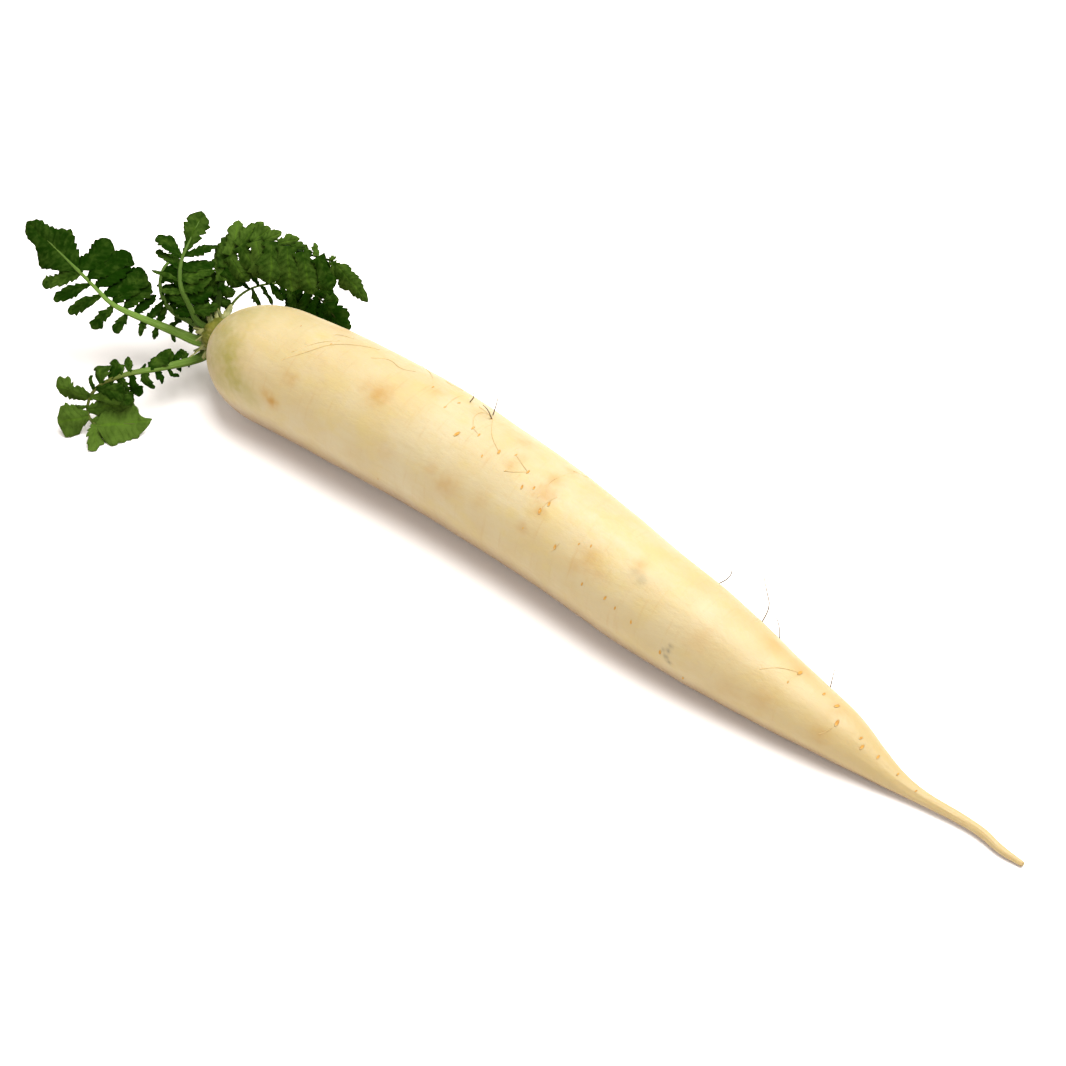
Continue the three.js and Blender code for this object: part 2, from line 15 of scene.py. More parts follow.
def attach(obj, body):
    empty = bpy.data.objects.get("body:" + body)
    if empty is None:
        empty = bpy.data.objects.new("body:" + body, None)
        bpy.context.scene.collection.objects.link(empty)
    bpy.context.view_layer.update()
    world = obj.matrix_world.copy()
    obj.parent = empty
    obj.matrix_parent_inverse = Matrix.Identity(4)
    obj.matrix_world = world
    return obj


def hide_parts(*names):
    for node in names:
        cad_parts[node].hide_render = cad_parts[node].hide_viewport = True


MM = 0.001
DEGREE = math.pi / 180

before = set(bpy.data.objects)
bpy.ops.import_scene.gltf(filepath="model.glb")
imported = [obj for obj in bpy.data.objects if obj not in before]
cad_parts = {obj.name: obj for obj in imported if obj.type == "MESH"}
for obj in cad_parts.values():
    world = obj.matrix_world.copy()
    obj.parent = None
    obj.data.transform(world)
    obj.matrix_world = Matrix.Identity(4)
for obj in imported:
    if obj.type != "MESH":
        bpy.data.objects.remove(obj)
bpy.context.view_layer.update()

# %% [markdown]
# ## The camera
# A long lens held a little over a metre away looks down at 45 degrees, past the root's tip and
# towards the leaves. It could be turned by hand until the view is right; here its place and its
# direction are given, and `to_track_quat` turns it so that its own -Z looks that way.

# %% The camera
IMAGE_SIDE = 1066
MIDDLE_PIXEL = (IMAGE_SIDE / 2, IMAGE_SIDE / 2)
LENS = 85.0
SENSOR = 36.0
CAMERA_PLACE = Vector((565.8, -611.8, 816.3)) * MM
LOOK = Vector((-0.4593, 0.5376, -0.7071)).normalized()
RIGHT = LOOK.cross(Vector((0, 0, 1))).normalized()
UPWARDS = RIGHT.cross(LOOK)

bpy.ops.object.select_all(action="DESELECT")
bpy.ops.object.camera_add(location=CAMERA_PLACE, rotation=LOOK.to_track_quat("-Z", "Y").to_euler())
camera = bpy.context.object
camera.data.lens = LENS
camera.data.sensor_width = SENSOR
bpy.context.scene.camera = camera


def sight_line(pixel):
    """The direction from the camera through a pixel of the square frame."""
    focal = LENS / SENSOR * IMAGE_SIDE
    across = pixel[0] - MIDDLE_PIXEL[0]
    down = pixel[1] - MIDDLE_PIXEL[1]
    return (LOOK * focal + RIGHT * across - UPWARDS * down).normalized()


print("camera looks through the middle along", [round(part, 3) for part in sight_line(MIDDLE_PIXEL)])

# %% [markdown]
# ## Floor and light
# A vegetable looks best on a white table, under a big soft light from above and behind, with
# white walls that fill in the shadows. A wide plane is the table, and the world's plain warm
# white stands for the walls. A large area light gives the long gloss on the root and a soft
# shadow, and a weak one in front fills in.

# %% Floor and light
FLOOR_SIDE = 8000 * MM
FLOOR_DROP = 0.15 * MM
ROOM_STRENGTH = 0.73
ROOM_COLOUR = (1, 0.93, 0.88, 1)
TABLE_LOOK = {
    "Base Color": (0.93, 0.9, 0.875, 1), "Roughness": 0.9, "Specular IOR Level": 0.1,
}
SOFT_LIGHTS = [
    ("soft box above", (220, 270, 1180), (60, 0, 30), 1150, 34.5),
    ("fill in front", (-500, -1100, 900), (60, 0, 20), 800, 2.5),
]

bpy.ops.mesh.primitive_plane_add(size=FLOOR_SIDE, location=(0, 0, -FLOOR_DROP))
floor = bpy.context.object
floor.name = "table"
paper = bpy.data.materials.new("white table")
paper.use_nodes = True
for socket, value in TABLE_LOOK.items():
    paper.node_tree.nodes["Principled BSDF"].inputs[socket].default_value = value
floor.data.materials.append(paper)

room = bpy.data.worlds.new("white room")
bpy.context.scene.world = room
room.use_nodes = True
room.node_tree.nodes["Background"].inputs["Color"].default_value = ROOM_COLOUR
room.node_tree.nodes["Background"].inputs["Strength"].default_value = ROOM_STRENGTH
bpy.context.scene.view_settings.view_transform = "Standard"


def soft_light(name, place, target, side, watts):
    """A square area light at a place, aimed at a target."""
    aim = (Vector(target) - Vector(place)).to_track_quat("-Z", "Y")
    bpy.ops.object.light_add(type="AREA", location=Vector(place) * MM, rotation=aim.to_euler())
    light = bpy.context.object
    light.name = name
    light.data.size = side * MM
    light.data.energy = watts
    return light


for light in SOFT_LIGHTS:
    soft_light(*light)
print("floor and light ready")

# %% [markdown]
# ## Shared shape helpers
# Every piece uses these: a fixed draw that looks random but is the same in every run, lookups in
# tables, straight or smooth, and short names for what is done to meshes again and again.

# %% Shared shape helpers


def wobble(number):
    """A fixed draw between -1 and 1 for any number."""
    value = math.sin(number * 12.9898 + 4.1414) * 43758.5453
    return (value - math.floor(value)) * 2 - 1


def mix(pair, share):
    return pair[0] + (pair[1] - pair[0]) * share


def linear_value(table, place):
    """The straight-line value of a table of (place, value) rows at a place."""
    following = next((k for k, row in enumerate(table) if row[0] >= place), len(table) - 1)
    following = max(1, following)
    (x0, y0), (x1, y1) = table[following - 1], table[following]
    return y0 + (y1 - y0) * (place - x0) / (x1 - x0)


def smooth_row(rows, t):
    """The smooth row of numbers at t between the rows of a table, where t counts rows."""
    last = len(rows) - 1
    index = min(int(t), last - 1)
    f = t - index
    a, b, c, d = [rows[max(0, min(last, index + k))] for k in (-1, 0, 1, 2)]
    return [
        q + 0.5 * f * (r - p + f * (2 * p - 5 * q + 4 * r - s + f * (3 * (q - r) + s - p)))
        for p, q, r, s in zip(a, b, c, d)
    ]


def select_none():
    bpy.ops.object.select_all(action="DESELECT")


def edit_all():
    """Edit mode with the whole mesh selected."""
    bpy.ops.object.mode_set(mode="EDIT")
    bpy.ops.mesh.select_all(action="SELECT")


def leave_edit():
    """Back to object mode, with the piece that was edited."""
    bpy.ops.object.mode_set(mode="OBJECT")
    return bpy.context.object


def close_edit():
    """Turns all normals outwards and leaves edit mode."""
    bpy.ops.mesh.select_all(action="SELECT")
    bpy.ops.mesh.normals_make_consistent(inside=False)
    return leave_edit()


def extrude_by(step):
    bpy.ops.mesh.extrude_region_move(TRANSFORM_OT_translate={"value": step})


def only(piece):
    """Makes a piece the one selected and active object."""
    select_none()
    piece.select_set(True)
    bpy.context.view_layer.objects.active = piece
    return piece


def finish_with(piece, kind, **settings):
    """Adds a modifier to a piece and applies it."""
    only(piece)
    modifier = piece.modifiers.new(kind.lower(), kind)
    for setting, value in settings.items():
        setattr(modifier, setting, value)
    bpy.ops.object.modifier_apply(modifier=modifier.name)


def rooted(piece, slot, *nodes):
    """A finished piece goes with the radish and stands for its solids, which are hidden. The slot is not
    used.
    """
    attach(piece, "root")
    if nodes:
        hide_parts(*nodes)
    lowest = min(vertex.co.z for vertex in piece.data.vertices) / MM
    print(piece.name, "has", len(piece.data.polygons), "faces, lowest point, mm:", round(lowest, 2))


print("helpers ready")

# %% [markdown]
# ## The root's line
# The taproot is round in section and lies in a slight bow. Its line is a short table of
# stations, the same as in the solid model: place along X, sideways bow, radius, and how far the
# underside is off the table. They were worked out from measured widths. A smooth curve runs
# through them, and the shoulder is rounded off by a quarter of an ellipse.

# %% The root's line
FLAT_DEPTH = 0.6
CROWN_X = -147.5
SHOULDER_LENGTH = 40
TIP_X = 311
ROOT_STATIONS = [
    (-150, -8.9, 28.9, 0),
    (-112, -6.6, 29.0, 0),
    (-80, -3.4, 29.6, 0),
    (-48, -1.3, 30.0, 0),
    (-16, -0.2, 29.5, 0),
    (16, -0.3, 28.5, 0),
    (48, -1.2, 27.5, 0),
    (80, -3.6, 26.1, 0),
    (112, -6.2, 24.3, 0),
    (144, -7.3, 22.1, 0),
    (172, -7.6, 18.8, 0.2),
    (198, -8.1, 15.2, 0.5),
    (212, -7.9, 13.2, 0.8),
    (224, -7.7, 11.0, 1.0),
    (236, -8.1, 7.8, 1.4),
    (248, -8.3, 4.9, 1.8),
    (260, -7.7, 3.2, 1.8),
    (279, -5.9, 2.5, 1.5),
    (290, -6.0, 2.3, 1.3),
    (299.5, -8.0, 2.1, 1.1),
    (311, -7.6, 1.3, 0.7),
]


def root_section(x):
    """The centre and the radius of the root at x, all in millimetres."""
    row = 0
    while row < len(ROOT_STATIONS) - 2 and ROOT_STATIONS[row + 1][0] < x:
        row += 1
    span = ROOT_STATIONS[row + 1][0] - ROOT_STATIONS[row][0]
    _, y, full, lift = smooth_row(ROOT_STATIONS, row + (x - ROOT_STATIONS[row][0]) / span)
    in_shoulder = max(0, CROWN_X + SHOULDER_LENGTH - x) / SHOULDER_LENGTH
    radius = full * math.sqrt(max(0, 1 - in_shoulder**2))
    return Vector((x, y, full - FLAT_DEPTH + lift)), radius


print("root near its middle, mm:", root_section(TIP_X / 4))

# %% [markdown]
# ## The root's body
# A sculpted lump would never have the root's even taper. A circle that is extruded ring by ring
# along the line, and scaled at each ring, has it from the start, and its rings give the creases
# something to follow later. Two levels of subdivision then make about a millimetre between
# points.

# %% The root's body
ROOT_SIDES = 48
SHOULDER_RINGS = 14
BODY_RINGS = 84
TIP_CROWDING = 1.15

ring_places = [
    CROWN_X + SHOULDER_LENGTH * (1 - math.cos(k / SHOULDER_RINGS * math.pi / 2))
    for k in range(1, SHOULDER_RINGS + 1)
]
body_start = CROWN_X + SHOULDER_LENGTH
ring_places += [
    body_start + (TIP_X - body_start) * (1 - (1 - k / BODY_RINGS) ** TIP_CROWDING)
    for k in range(1, BODY_RINGS + 1)
]


def extruded_taproot():
    """A tube of rings along the root's line, closed at both ends."""
    centre, radius = root_section(ring_places[0])
    select_none()
    bpy.ops.mesh.primitive_circle_add(
        vertices=ROOT_SIDES, radius=radius * MM, fill_type="NGON",
        location=centre * MM, rotation=(0, 90 * DEGREE, 0),
    )
    bpy.ops.object.transform_apply(location=True, rotation=True)
    bpy.ops.object.mode_set(mode="EDIT")
    for place in ring_places[1:]:
        next_centre, next_radius = root_section(place)
        step = (next_centre - centre) * MM
        extrude_by(step)
        size = next_radius / radius
        bpy.ops.transform.resize(value=(1, size, size), center_override=next_centre * MM)
        centre, radius = next_centre, next_radius
    return close_edit()


taproot = extruded_taproot()
taproot.name = "taproot"
finish_with(taproot, "SUBSURF", levels=2, render_levels=2)
print("taproot points:", len(taproot.data.vertices))

# %% [markdown]
# ## Lumps and creases in the skin
# A radish that grew in soil is never quite round. Broad, shallow lumps come from slow noise,
# faint rings run round the body where it grew in pushes, and the thin tail dries into lengthwise
# wrinkles. All of it moves points along their normals by tenths of a millimetre, which shows in
# the gloss without changing the size.

# %% Lumps and creases in the skin
LUMP_SIZE = 46
LUMP_DEPTH = 0.55
DENT_SIZE = 13
DENT_DEPTH = 0.13
RING_LENGTH = 7
RING_WIDTH = 38
RING_DEPTH = 0.07
DRY_FROM = 190
DRY_TO = 245
WRINKLE_DEPTH = 0.16
WRINKLES_ROUND = 3.2
WRINKLE_LENGTH = 14
SLIM_RADIUS = 6
SLIM_WRINKLES = 0.4


def lumps(spot):
    return LUMP_DEPTH * noise.noise(spot / LUMP_SIZE) + DENT_DEPTH * noise.noise(spot / DENT_SIZE)


def growth_rings(spot):
    stretched = Vector((spot.x / RING_LENGTH, spot.y / RING_WIDTH, spot.z / RING_WIDTH))
    return RING_DEPTH * noise.noise(stretched)


def dry_wrinkles(spot):
    """Fine lengthwise furrows that set in towards the tail."""
    dryness = max(0.0, min(1.0, (spot.x - DRY_FROM) / (DRY_TO - DRY_FROM)))
    if dryness == 0:
        return 0
    centre, radius = root_section(min(spot.x, TIP_X))
    angle = math.atan2(spot.z - centre.z, spot.y - centre.y)
    sideways, up = math.cos(angle) * WRINKLES_ROUND, math.sin(angle) * WRINKLES_ROUND
    round_the_tail = Vector((sideways, up, spot.x / WRINKLE_LENGTH))
    deepest = min(1, radius / SLIM_RADIUS + SLIM_WRINKLES)
    return dryness * deepest * WRINKLE_DEPTH * noise.noise(round_the_tail)


def weather_skin(skin):
    normals = [vertex.normal.copy() for vertex in skin.data.vertices]
    for vertex, normal in zip(skin.data.vertices, normals):
        spot = vertex.co / MM
        depth = lumps(spot) + growth_rings(spot) + dry_wrinkles(spot)
        vertex.co += normal * depth * MM
        vertex.co.z = max(0.0, vertex.co.z)


weather_skin(taproot)
only(taproot)
bpy.ops.object.shade_smooth()
taproot_tree = BVHTree.FromPolygons(
    [vertex.co for vertex in taproot.data.vertices],
    [polygon.vertices for polygon in taproot.data.polygons],
)


NEAREST_STEPS = 8


def on_skin(pixel):
    """The point and the normal of the root's skin at a pixel, or nearest to what it looks past."""
    ray = sight_line(pixel)
    point, normal, _, _ = taproot_tree.ray_cast(CAMERA_PLACE, ray)
    reach = CAMERA_PLACE.length
    for _ in range(0 if point else NEAREST_STEPS):
        nearest, normal, _, _ = taproot_tree.find_nearest(CAMERA_PLACE + ray * reach)
        reach = (nearest - CAMERA_PLACE).dot(ray)
    return point or nearest, normal


print("skin under the middle of the frame:", on_skin(MIDDLE_PIXEL))

# %% [markdown]
# ## Helpers for materials
# Materials are made of nodes. These helpers add one node and wire its inputs in a line, so that
# each finish below reads like a recipe.

# %% Helpers for materials


def new_finish(name):
    """A material with an empty Principled shader, and that shader."""
    material = bpy.data.materials.new(name)
    material.use_nodes = True
    return material, material.node_tree.nodes["Principled BSDF"]


def add_node(material, kind, inputs=None, **settings):
    """One node. An input is a value, or an output that is linked to it."""
    node = material.node_tree.nodes.new("ShaderNode" + kind)
    for setting, value in settings.items():
        setattr(node, setting, value)
    for socket, value in (inputs or {}).items():
        if isinstance(value, bpy.types.NodeSocket):
            material.node_tree.links.new(value, node.inputs[socket])
        else:
            node.inputs[socket].default_value = value
    return node


def place_in_piece(material, stretch=(1, 1, 1)):
    """The place on the piece, in metres times a stretch."""
    place = add_node(material, "TexCoord").outputs["Object"]
    return add_node(material, "Mapping", {"Vector": place, "Scale": stretch}).outputs["Vector"]


def speckle(material, place, scale, detail=3.0, roughness=0.55):
    inputs = {"Vector": place, "Scale": scale, "Detail": detail, "Roughness": roughness}
    return add_node(material, "TexNoise", inputs).outputs["Fac"]


def remap(material, value, low, high, to_low=0.0, to_high=1.0):
    inputs = {"Value": value, "From Min": low, "From Max": high, "To Min": to_low, "To Max": to_high}
    return add_node(material, "MapRange", inputs, interpolation_type="SMOOTHSTEP").outputs["Result"]


def maths(material, operation, first, second=0.0):
    return add_node(material, "Math", {0: first, 1: second}, operation=operation).outputs[0]


def tint(material, factor, low, high, way="MIX"):
    """Colours low and high mixed by a factor."""
    inputs = {0: factor, 6: low, 7: high}
    node = add_node(material, "Mix", inputs, data_type="RGBA", blend_type=way)
    return node.outputs[2]


def relief(material, shader, height, distance, strength=1.0):
    """Fine relief, too small for the mesh, as a bump in metres."""
    inputs = {"Height": height, "Distance": distance, "Strength": strength}
    bump = add_node(material, "Bump", inputs)
    material.node_tree.links.new(bump.outputs["Normal"], shader.inputs["Normal"])


def wire(material, output, shader, socket):
    material.node_tree.links.new(output, shader.inputs[socket])


def plain_inputs(shader, **values):
    """Even values of a shader's inputs, whose names have spaces for underscores."""
    for name, value in values.items():
        shader.inputs[name.replace("_", " ")].default_value = value


def grained_finish(name, scale, pale, deep, roughness, depth):
    """A finish of two colours in a fine grain, which is also its relief."""
    material, shader = new_finish(name)
    grain = speckle(material, place_in_piece(material), scale)
    wire(material, tint(material, remap(material, grain, 0.35, 0.7), pale, deep), shader, "Base Color")
    plain_inputs(shader, Roughness=roughness)
    relief(material, shader, grain, depth * MM)
    return material


print("material helpers ready")

# %% [markdown]
# ## Stains on the skin, and a painted shade under it
# Soil leaves tan blotches and grey scuffs, and light turns the shoulder green. They lie where
# they happened to fall, so a noise can't place them. A colour attribute on the points holds how
# strong each is: red for tan, green for olive, blue for grey. Its alpha holds how far the skin
# looks down, and the finish turns that into a painted shade on the underside.

# %% Stains on the skin, and a painted shade under it
TAN_BLOTCHES = [
    ((272, 401), 3.0, 1.0), ((265, 394), 2.6, 0.5), ((380, 394), 5.5, 0.7), ((368, 386), 4.0, 0.3),
    ((291, 379), 3.5, 0.4), ((445, 486), 6.0, 0.42), ((432, 470), 4.5, 0.25), ((545, 494), 5.5, 0.6),
    ((556, 480), 4.5, 0.5), ((572, 472), 3.5, 0.35), ((540, 512), 3.5, 0.5), ((590, 560), 7.0, 0.4),
    ((575, 566), 4.0, 0.35), ((600, 575), 4.0, 0.3), ((511, 465), 3.2, 0.45), ((520, 458), 2.6, 0.35),
    ((478, 412), 2.8, 0.3), ((436, 392), 4.0, 0.3), ((526, 443), 4.5, 0.3), ((522, 528), 3.0, 0.35),
    ((640, 566), 3.4, 0.45), ((700, 640), 6.0, 0.25), ((775, 645), 5.0, 0.35), ((800, 668), 4.5, 0.35),
    ((762, 700), 6.0, 0.3), ((839, 712), 4.0, 0.35), ((820, 735), 4.0, 0.4), ((730, 690), 6.0, 0.2),
    ((345, 330), 6.0, 0.25), ((320, 362), 5.0, 0.2), ((480, 500), 5.0, 0.2), ((385, 452), 6.0, 0.2),
]
OLIVE_BLOTCHES = [
    ((230, 345), 7.0, 0.55), ((228, 357), 7.0, 0.7), ((229, 370), 7.0, 0.66), ((235, 382), 6.0, 0.65),
    ((224, 332), 9.0, 0.5), ((250, 398), 6.0, 0.35), ((219, 352), 9.0, 0.5), ((244, 388), 5.0, 0.45),
    ((246, 314), 11.0, 0.35), ((222, 378), 8.0, 0.35), ((270, 312), 10.0, 0.2), ((300, 322), 10.0, 0.14),
]
GREY_SCUFFS = [
    ((641, 580), 2.4, 0.35), ((634, 572), 1.8, 0.3), ((668, 651), 1.3, 0.85), ((671, 646), 1.0, 0.7),
    ((666, 657), 1.2, 0.8), ((669, 662), 1.1, 0.7), ((664, 650), 0.9, 0.5),
]
STAIN_REACH = 2
STAIN_FALLOFF = 1.1
RAGGED_SIZE = 2.5
RAGGED_BY = 0.5


def stained_spots(table):
    """Each blotch's point on the skin, its radius in metres and its strength."""
    return [(on_skin(pixel)[0], radius * MM, strength) for pixel, radius, strength in table]


def stain_at(spot, spots):
    strength = 0.0
    for centre, radius, full in spots:
        reach = (spot - centre).length / radius
        if reach < STAIN_REACH:
            ragged = reach + RAGGED_BY * noise.noise(spot / MM / RAGGED_SIZE)
            strength = max(strength, full * math.exp(-ragged * ragged * STAIN_FALLOFF))
    return strength


def paint_stains_and_underside_shade(skin):
    """Writes tan, olive, grey and how far the skin looks down, the mask of a painted shade, as the four parts
    of a colour.
    """
    stain_and_shade_layer = skin.data.attributes.new("stain_and_underside_shade", "FLOAT_COLOR", "POINT")
    tables = [stained_spots(table) for table in (TAN_BLOTCHES, OLIVE_BLOTCHES, GREY_SCUFFS)]
    for number, vertex in enumerate(skin.data.vertices):
        amounts = [stain_at(vertex.co, spots) for spots in tables]
        stain_and_shade_layer.data[number].color = (*amounts, max(0.0, -vertex.normal.z))


paint_stains_and_underside_shade(taproot)
print("stains painted")

# %% [markdown]
# ## The skin's finish
# Daikon skin is ivory and slightly see-through, so light soaks in and comes out warm. The base
# goes from pale to warm ivory by slow noise, with fine lengthwise fibres, a green-yellow tinge
# near the crown, a painted shade of brown on the underside, and the stains on top. A little
# subsurface light and a smooth but not wet gloss finish it.

# %% The skin's finish
IVORY_PALE = (0.415, 0.345, 0.2, 1)
IVORY_WARM = (0.39, 0.3, 0.142, 1)
BUTTER = (0.41, 0.32, 0.132, 1)
TAIL_CREAM = (0.375, 0.278, 0.118, 1)
SHOULDER_GREEN = (0.3, 0.275, 0.02, 1)
OLIVE = (0.205, 0.188, 0.002, 1)
TAN = (0.34, 0.185, 0.035, 1)
SCUFF_GREY = (0.12, 0.11, 0.065, 1)
UNDERSIDE_SHADE_BROWN = (0.2, 0.115, 0.06, 1)
TAIL_FROM, TAIL_TO = 0.08, 0.26
TINGE_FROM, TINGE_TO = -0.085, -0.13


def skin_finish():
    material, shader = new_finish("daikon skin")
    place = place_in_piece(material)
    along = add_node(material, "SeparateXYZ", {"Vector": place}).outputs["X"]
    broad = speckle(material, place, 26, 4)
    colour = tint(material, remap(material, broad, 0.3, 0.7), IVORY_PALE, IVORY_WARM)
    butter = speckle(material, place_in_piece(material, (50, 75, 75)), 1, 5, 0.6)
    colour = tint(material, remap(material, butter, 0.45, 0.7, 0, 0.8), colour, BUTTER)
    fibres = speckle(material, place_in_piece(material, (22, 420, 420)), 1, 4, 0.65)
    colour = tint(material, remap(material, fibres, 0.45, 0.8, 0, 0.35), colour, IVORY_WARM)
    rings = speckle(material, place_in_piece(material, (520, 60, 60)), 1, 3)
    colour = tint(material, remap(material, rings, 0.55, 0.85, 0, 0.25), colour, TAN)
    colour = tint(material, remap(material, along, TAIL_FROM, TAIL_TO, 0, 0.8), colour, TAIL_CREAM)
    patchy = maths(material, "MULTIPLY_ADD", speckle(material, place, 60, 3), 0.03)
    near_crown = maths(material, "ADD", along, patchy)
    tinge = remap(material, near_crown, TINGE_FROM, TINGE_TO, 0, 0.9)
    colour = tint(material, tinge, colour, SHOULDER_GREEN)
    stain_and_underside_shade = add_node(material, "Attribute", attribute_name="stain_and_underside_shade")
    # Painted shade: skin that looks down is darkened towards brown, more the further down it looks.
    underside_shade = remap(material, stain_and_underside_shade.outputs["Alpha"], 0.02, 0.5, 0, 0.75)
    colour = tint(material, underside_shade, colour, UNDERSIDE_SHADE_BROWN)
    parts = add_node(material, "SeparateColor", {"Color": stain_and_underside_shade.outputs["Color"]})
    for part, stain_colour in (("Green", OLIVE), ("Red", TAN), ("Blue", SCUFF_GREY)):
        colour = tint(material, parts.outputs[part], colour, stain_colour)
    wire(material, colour, shader, "Base Color")
    roughness = remap(material, speckle(material, place, 90, 4), 0.3, 0.7, 0.42, 0.56)
    wire(material, roughness, shader, "Roughness")
    plain_inputs(
        shader, Subsurface_Weight=0.22, Subsurface_Radius=(1.0, 0.55, 0.2), Subsurface_Scale=3 * MM,
        Specular_IOR_Level=0.38,
    )
    pores = speckle(material, place, 900, 3, 0.6)
    dimples = speckle(material, place_in_piece(material, (90, 160, 160)), 1, 4, 0.6)
    height = maths(material, "MULTIPLY_ADD", fibres, 0.7)
    height.node.inputs[2].default_value = 0
    material.node_tree.links.new(pores, height.node.inputs[2])
    height = maths(material, "ADD", height, maths(material, "MULTIPLY", dimples, 7))
    relief(material, shader, height, 0.12 * MM, 0.6)
    return material


daikon_skin = skin_finish()
taproot.data.materials.append(daikon_skin)
rooted(taproot, "root_skin", "root")

# %% [markdown]
# ## Rootlet scars
# Where side roots broke off, the skin has short slits that lie across the root, each with a
# raised pale lip and an orange-brown bottom. One scar is modelled from a disc: it is stretched,
# inset and lifted for the lip, and inset again and pushed down for the slit. The others
# are copies that are turned to lie across the root where they belong.

# %% One rootlet scar
SCAR_LENGTH = 2.5
SCAR_WIDTH = 1.2
SCAR_SUNK = 0.12
LIP_WIDTH = 0.14
LIP_HEIGHT = 0.34
SLIT_DEPTH = 0.1
SLIT_BOTTOM = (0.75, 0.85, 1)
SLIT_REACH = 0.36

scar_lip = grained_finish(
    "scar lip", 700, (0.37, 0.26, 0.1, 1), (0.31, 0.19, 0.055, 1), 0.6, 0.05
)
scar_slit = grained_finish(
    "scar slit", 900, (0.46, 0.24, 0.035, 1), (0.34, 0.15, 0.018, 1), 0.75, 0.06
)


def modelled_scar():
    """A lens-shaped lip round a slit, its foot a little under Z = 0, its long side along Y."""
    select_none()
    bpy.ops.mesh.primitive_circle_add(vertices=16, radius=0.5, fill_type="NGON")
    edit_all()
    bpy.ops.transform.resize(value=(SCAR_WIDTH * MM, SCAR_LENGTH * MM, 1))
    bpy.ops.transform.translate(value=(0, 0, -SCAR_SUNK * MM))
    bpy.ops.mesh.inset(thickness=LIP_WIDTH * MM)
    bpy.ops.transform.translate(value=(0, 0, LIP_HEIGHT * MM))
    bpy.ops.mesh.inset(thickness=LIP_WIDTH * MM * 0.5)
    extrude_by((0, 0, -SLIT_DEPTH * MM))
    bpy.ops.transform.resize(value=SLIT_BOTTOM)
    scar = leave_edit()
    scar.data.materials.append(scar_lip)
    scar.data.materials.append(scar_slit)
    for face in scar.data.polygons:
        across = face.center.x / SCAR_WIDTH / MM
        along = face.center.y / SCAR_LENGTH / MM
        face.material_index = 1 if math.hypot(across, along) < SLIT_REACH else 0
    finish_with(scar, "SUBSURF", levels=1, render_levels=1)
    bpy.ops.object.shade_smooth()
    return scar


first_scar = modelled_scar()
print("one scar has", len(first_scar.data.polygons), "faces")

# %% [markdown]
# ## Where the scars lie
# Side roots grow in two rows, on opposite sides of the taproot. One row faces the camera, so its
# scars are placed by the pixel that shows each one. The other row is round the back, where
# nothing is known, and its scars are strewn along a line there.

# %% Where the scars lie
SEEN_SCARS = [
    ((433, 387), 0.9), ((445, 407), 0.9), ((457, 434), 1.9), ((459, 403), 1.0), ((473, 428), 1.2),
    ((479, 435), 1.1), ((491, 419), 0.9), ((499, 452), 1.5), ((516, 455), 0.9), ((528, 472), 1.3),
    ((522, 487), 1.3), ((534, 488), 1.1), ((540, 511), 1.8), ((549, 504), 1.4), ((555, 547), 1.5),
    ((579, 544), 0.8), ((591, 546), 0.9), ((582, 584), 1.1), ((605, 598), 1.3), ((615, 608), 1.1),
    ((631, 622), 1.2), ((660, 652), 1.4), ((683, 678), 1.1), ((800, 673), 1.9), ((824, 694), 1.2),
    ((837, 706), 1.7), ((837, 723), 1.8), ((861, 738), 1.2), ((862, 747), 1.5), ((878, 757), 1.3),
    ((898, 774), 1.0), ((916, 791), 0.8), ((331, 344), 0.7), ((301, 326), 0.6), ((378, 479), 0.6),
    ((482, 456), 0.9), ((505, 471), 0.7), ((523, 528), 0.7), ((788, 682), 0.8), ((712, 700), 0.7),
]
SEEN_SIZE = 0.82
BACK_SCARS = 34
BACK_ROW_ANGLE = 222
BACK_ROW_SPREAD = 18
BACK_ROW_FROM = -70
BACK_ROW_LENGTH = 320
BACK_ROW_JITTER = 5
BACK_SIZE = 0.8
BACK_SIZE_SPREAD = 0.35
SEEN_TURN = 0.35
BACK_TURN = 0.3
OUTSIDE = 10


def lay_on_skin(point, normal, size, turn):
    """The placing of a copy whose Z is the skin's normal and whose Y lies across the root."""
    across = normal.cross(Vector((1, 0, 0))).normalized()
    along = across.cross(normal)
    facing = Matrix((along, across, normal)).transposed().to_4x4()
    twist = Matrix.Rotation(turn, 4, "Z")
    return Matrix.Translation(point) @ facing @ twist @ Matrix.Diagonal((size, size, size, 1))


def placed_copy(pattern, placing, name):
    """A copy of a pattern with its own mesh, put in place in its mesh."""
    copy = pattern.copy()
    copy.data = pattern.data.copy()
    copy.data.transform(placing)
    copy.name = name
    bpy.context.collection.objects.link(copy)
    return copy


def joined(pieces, name):
    select_none()
    for piece in pieces:
        piece.select_set(True)
    bpy.context.view_layer.objects.active = pieces[0]
    bpy.ops.object.join()
    pieces[0].name = name
    return pieces[0]


def back_of_root(number):
    """A point and a normal in the back row of scars."""
    share = (number + 0.5) / BACK_SCARS
    x = BACK_ROW_FROM + BACK_ROW_LENGTH * share + BACK_ROW_JITTER * wobble(number + 300)
    angle = (BACK_ROW_ANGLE + BACK_ROW_SPREAD * wobble(number + 350)) * DEGREE
    centre, radius = root_section(x)
    outwards = Vector((0, -math.sin(angle), math.cos(angle)))
    start = (centre + outwards * (radius + OUTSIDE)) * MM
    point, normal, _, _ = taproot_tree.ray_cast(start, -outwards)
    return point, normal


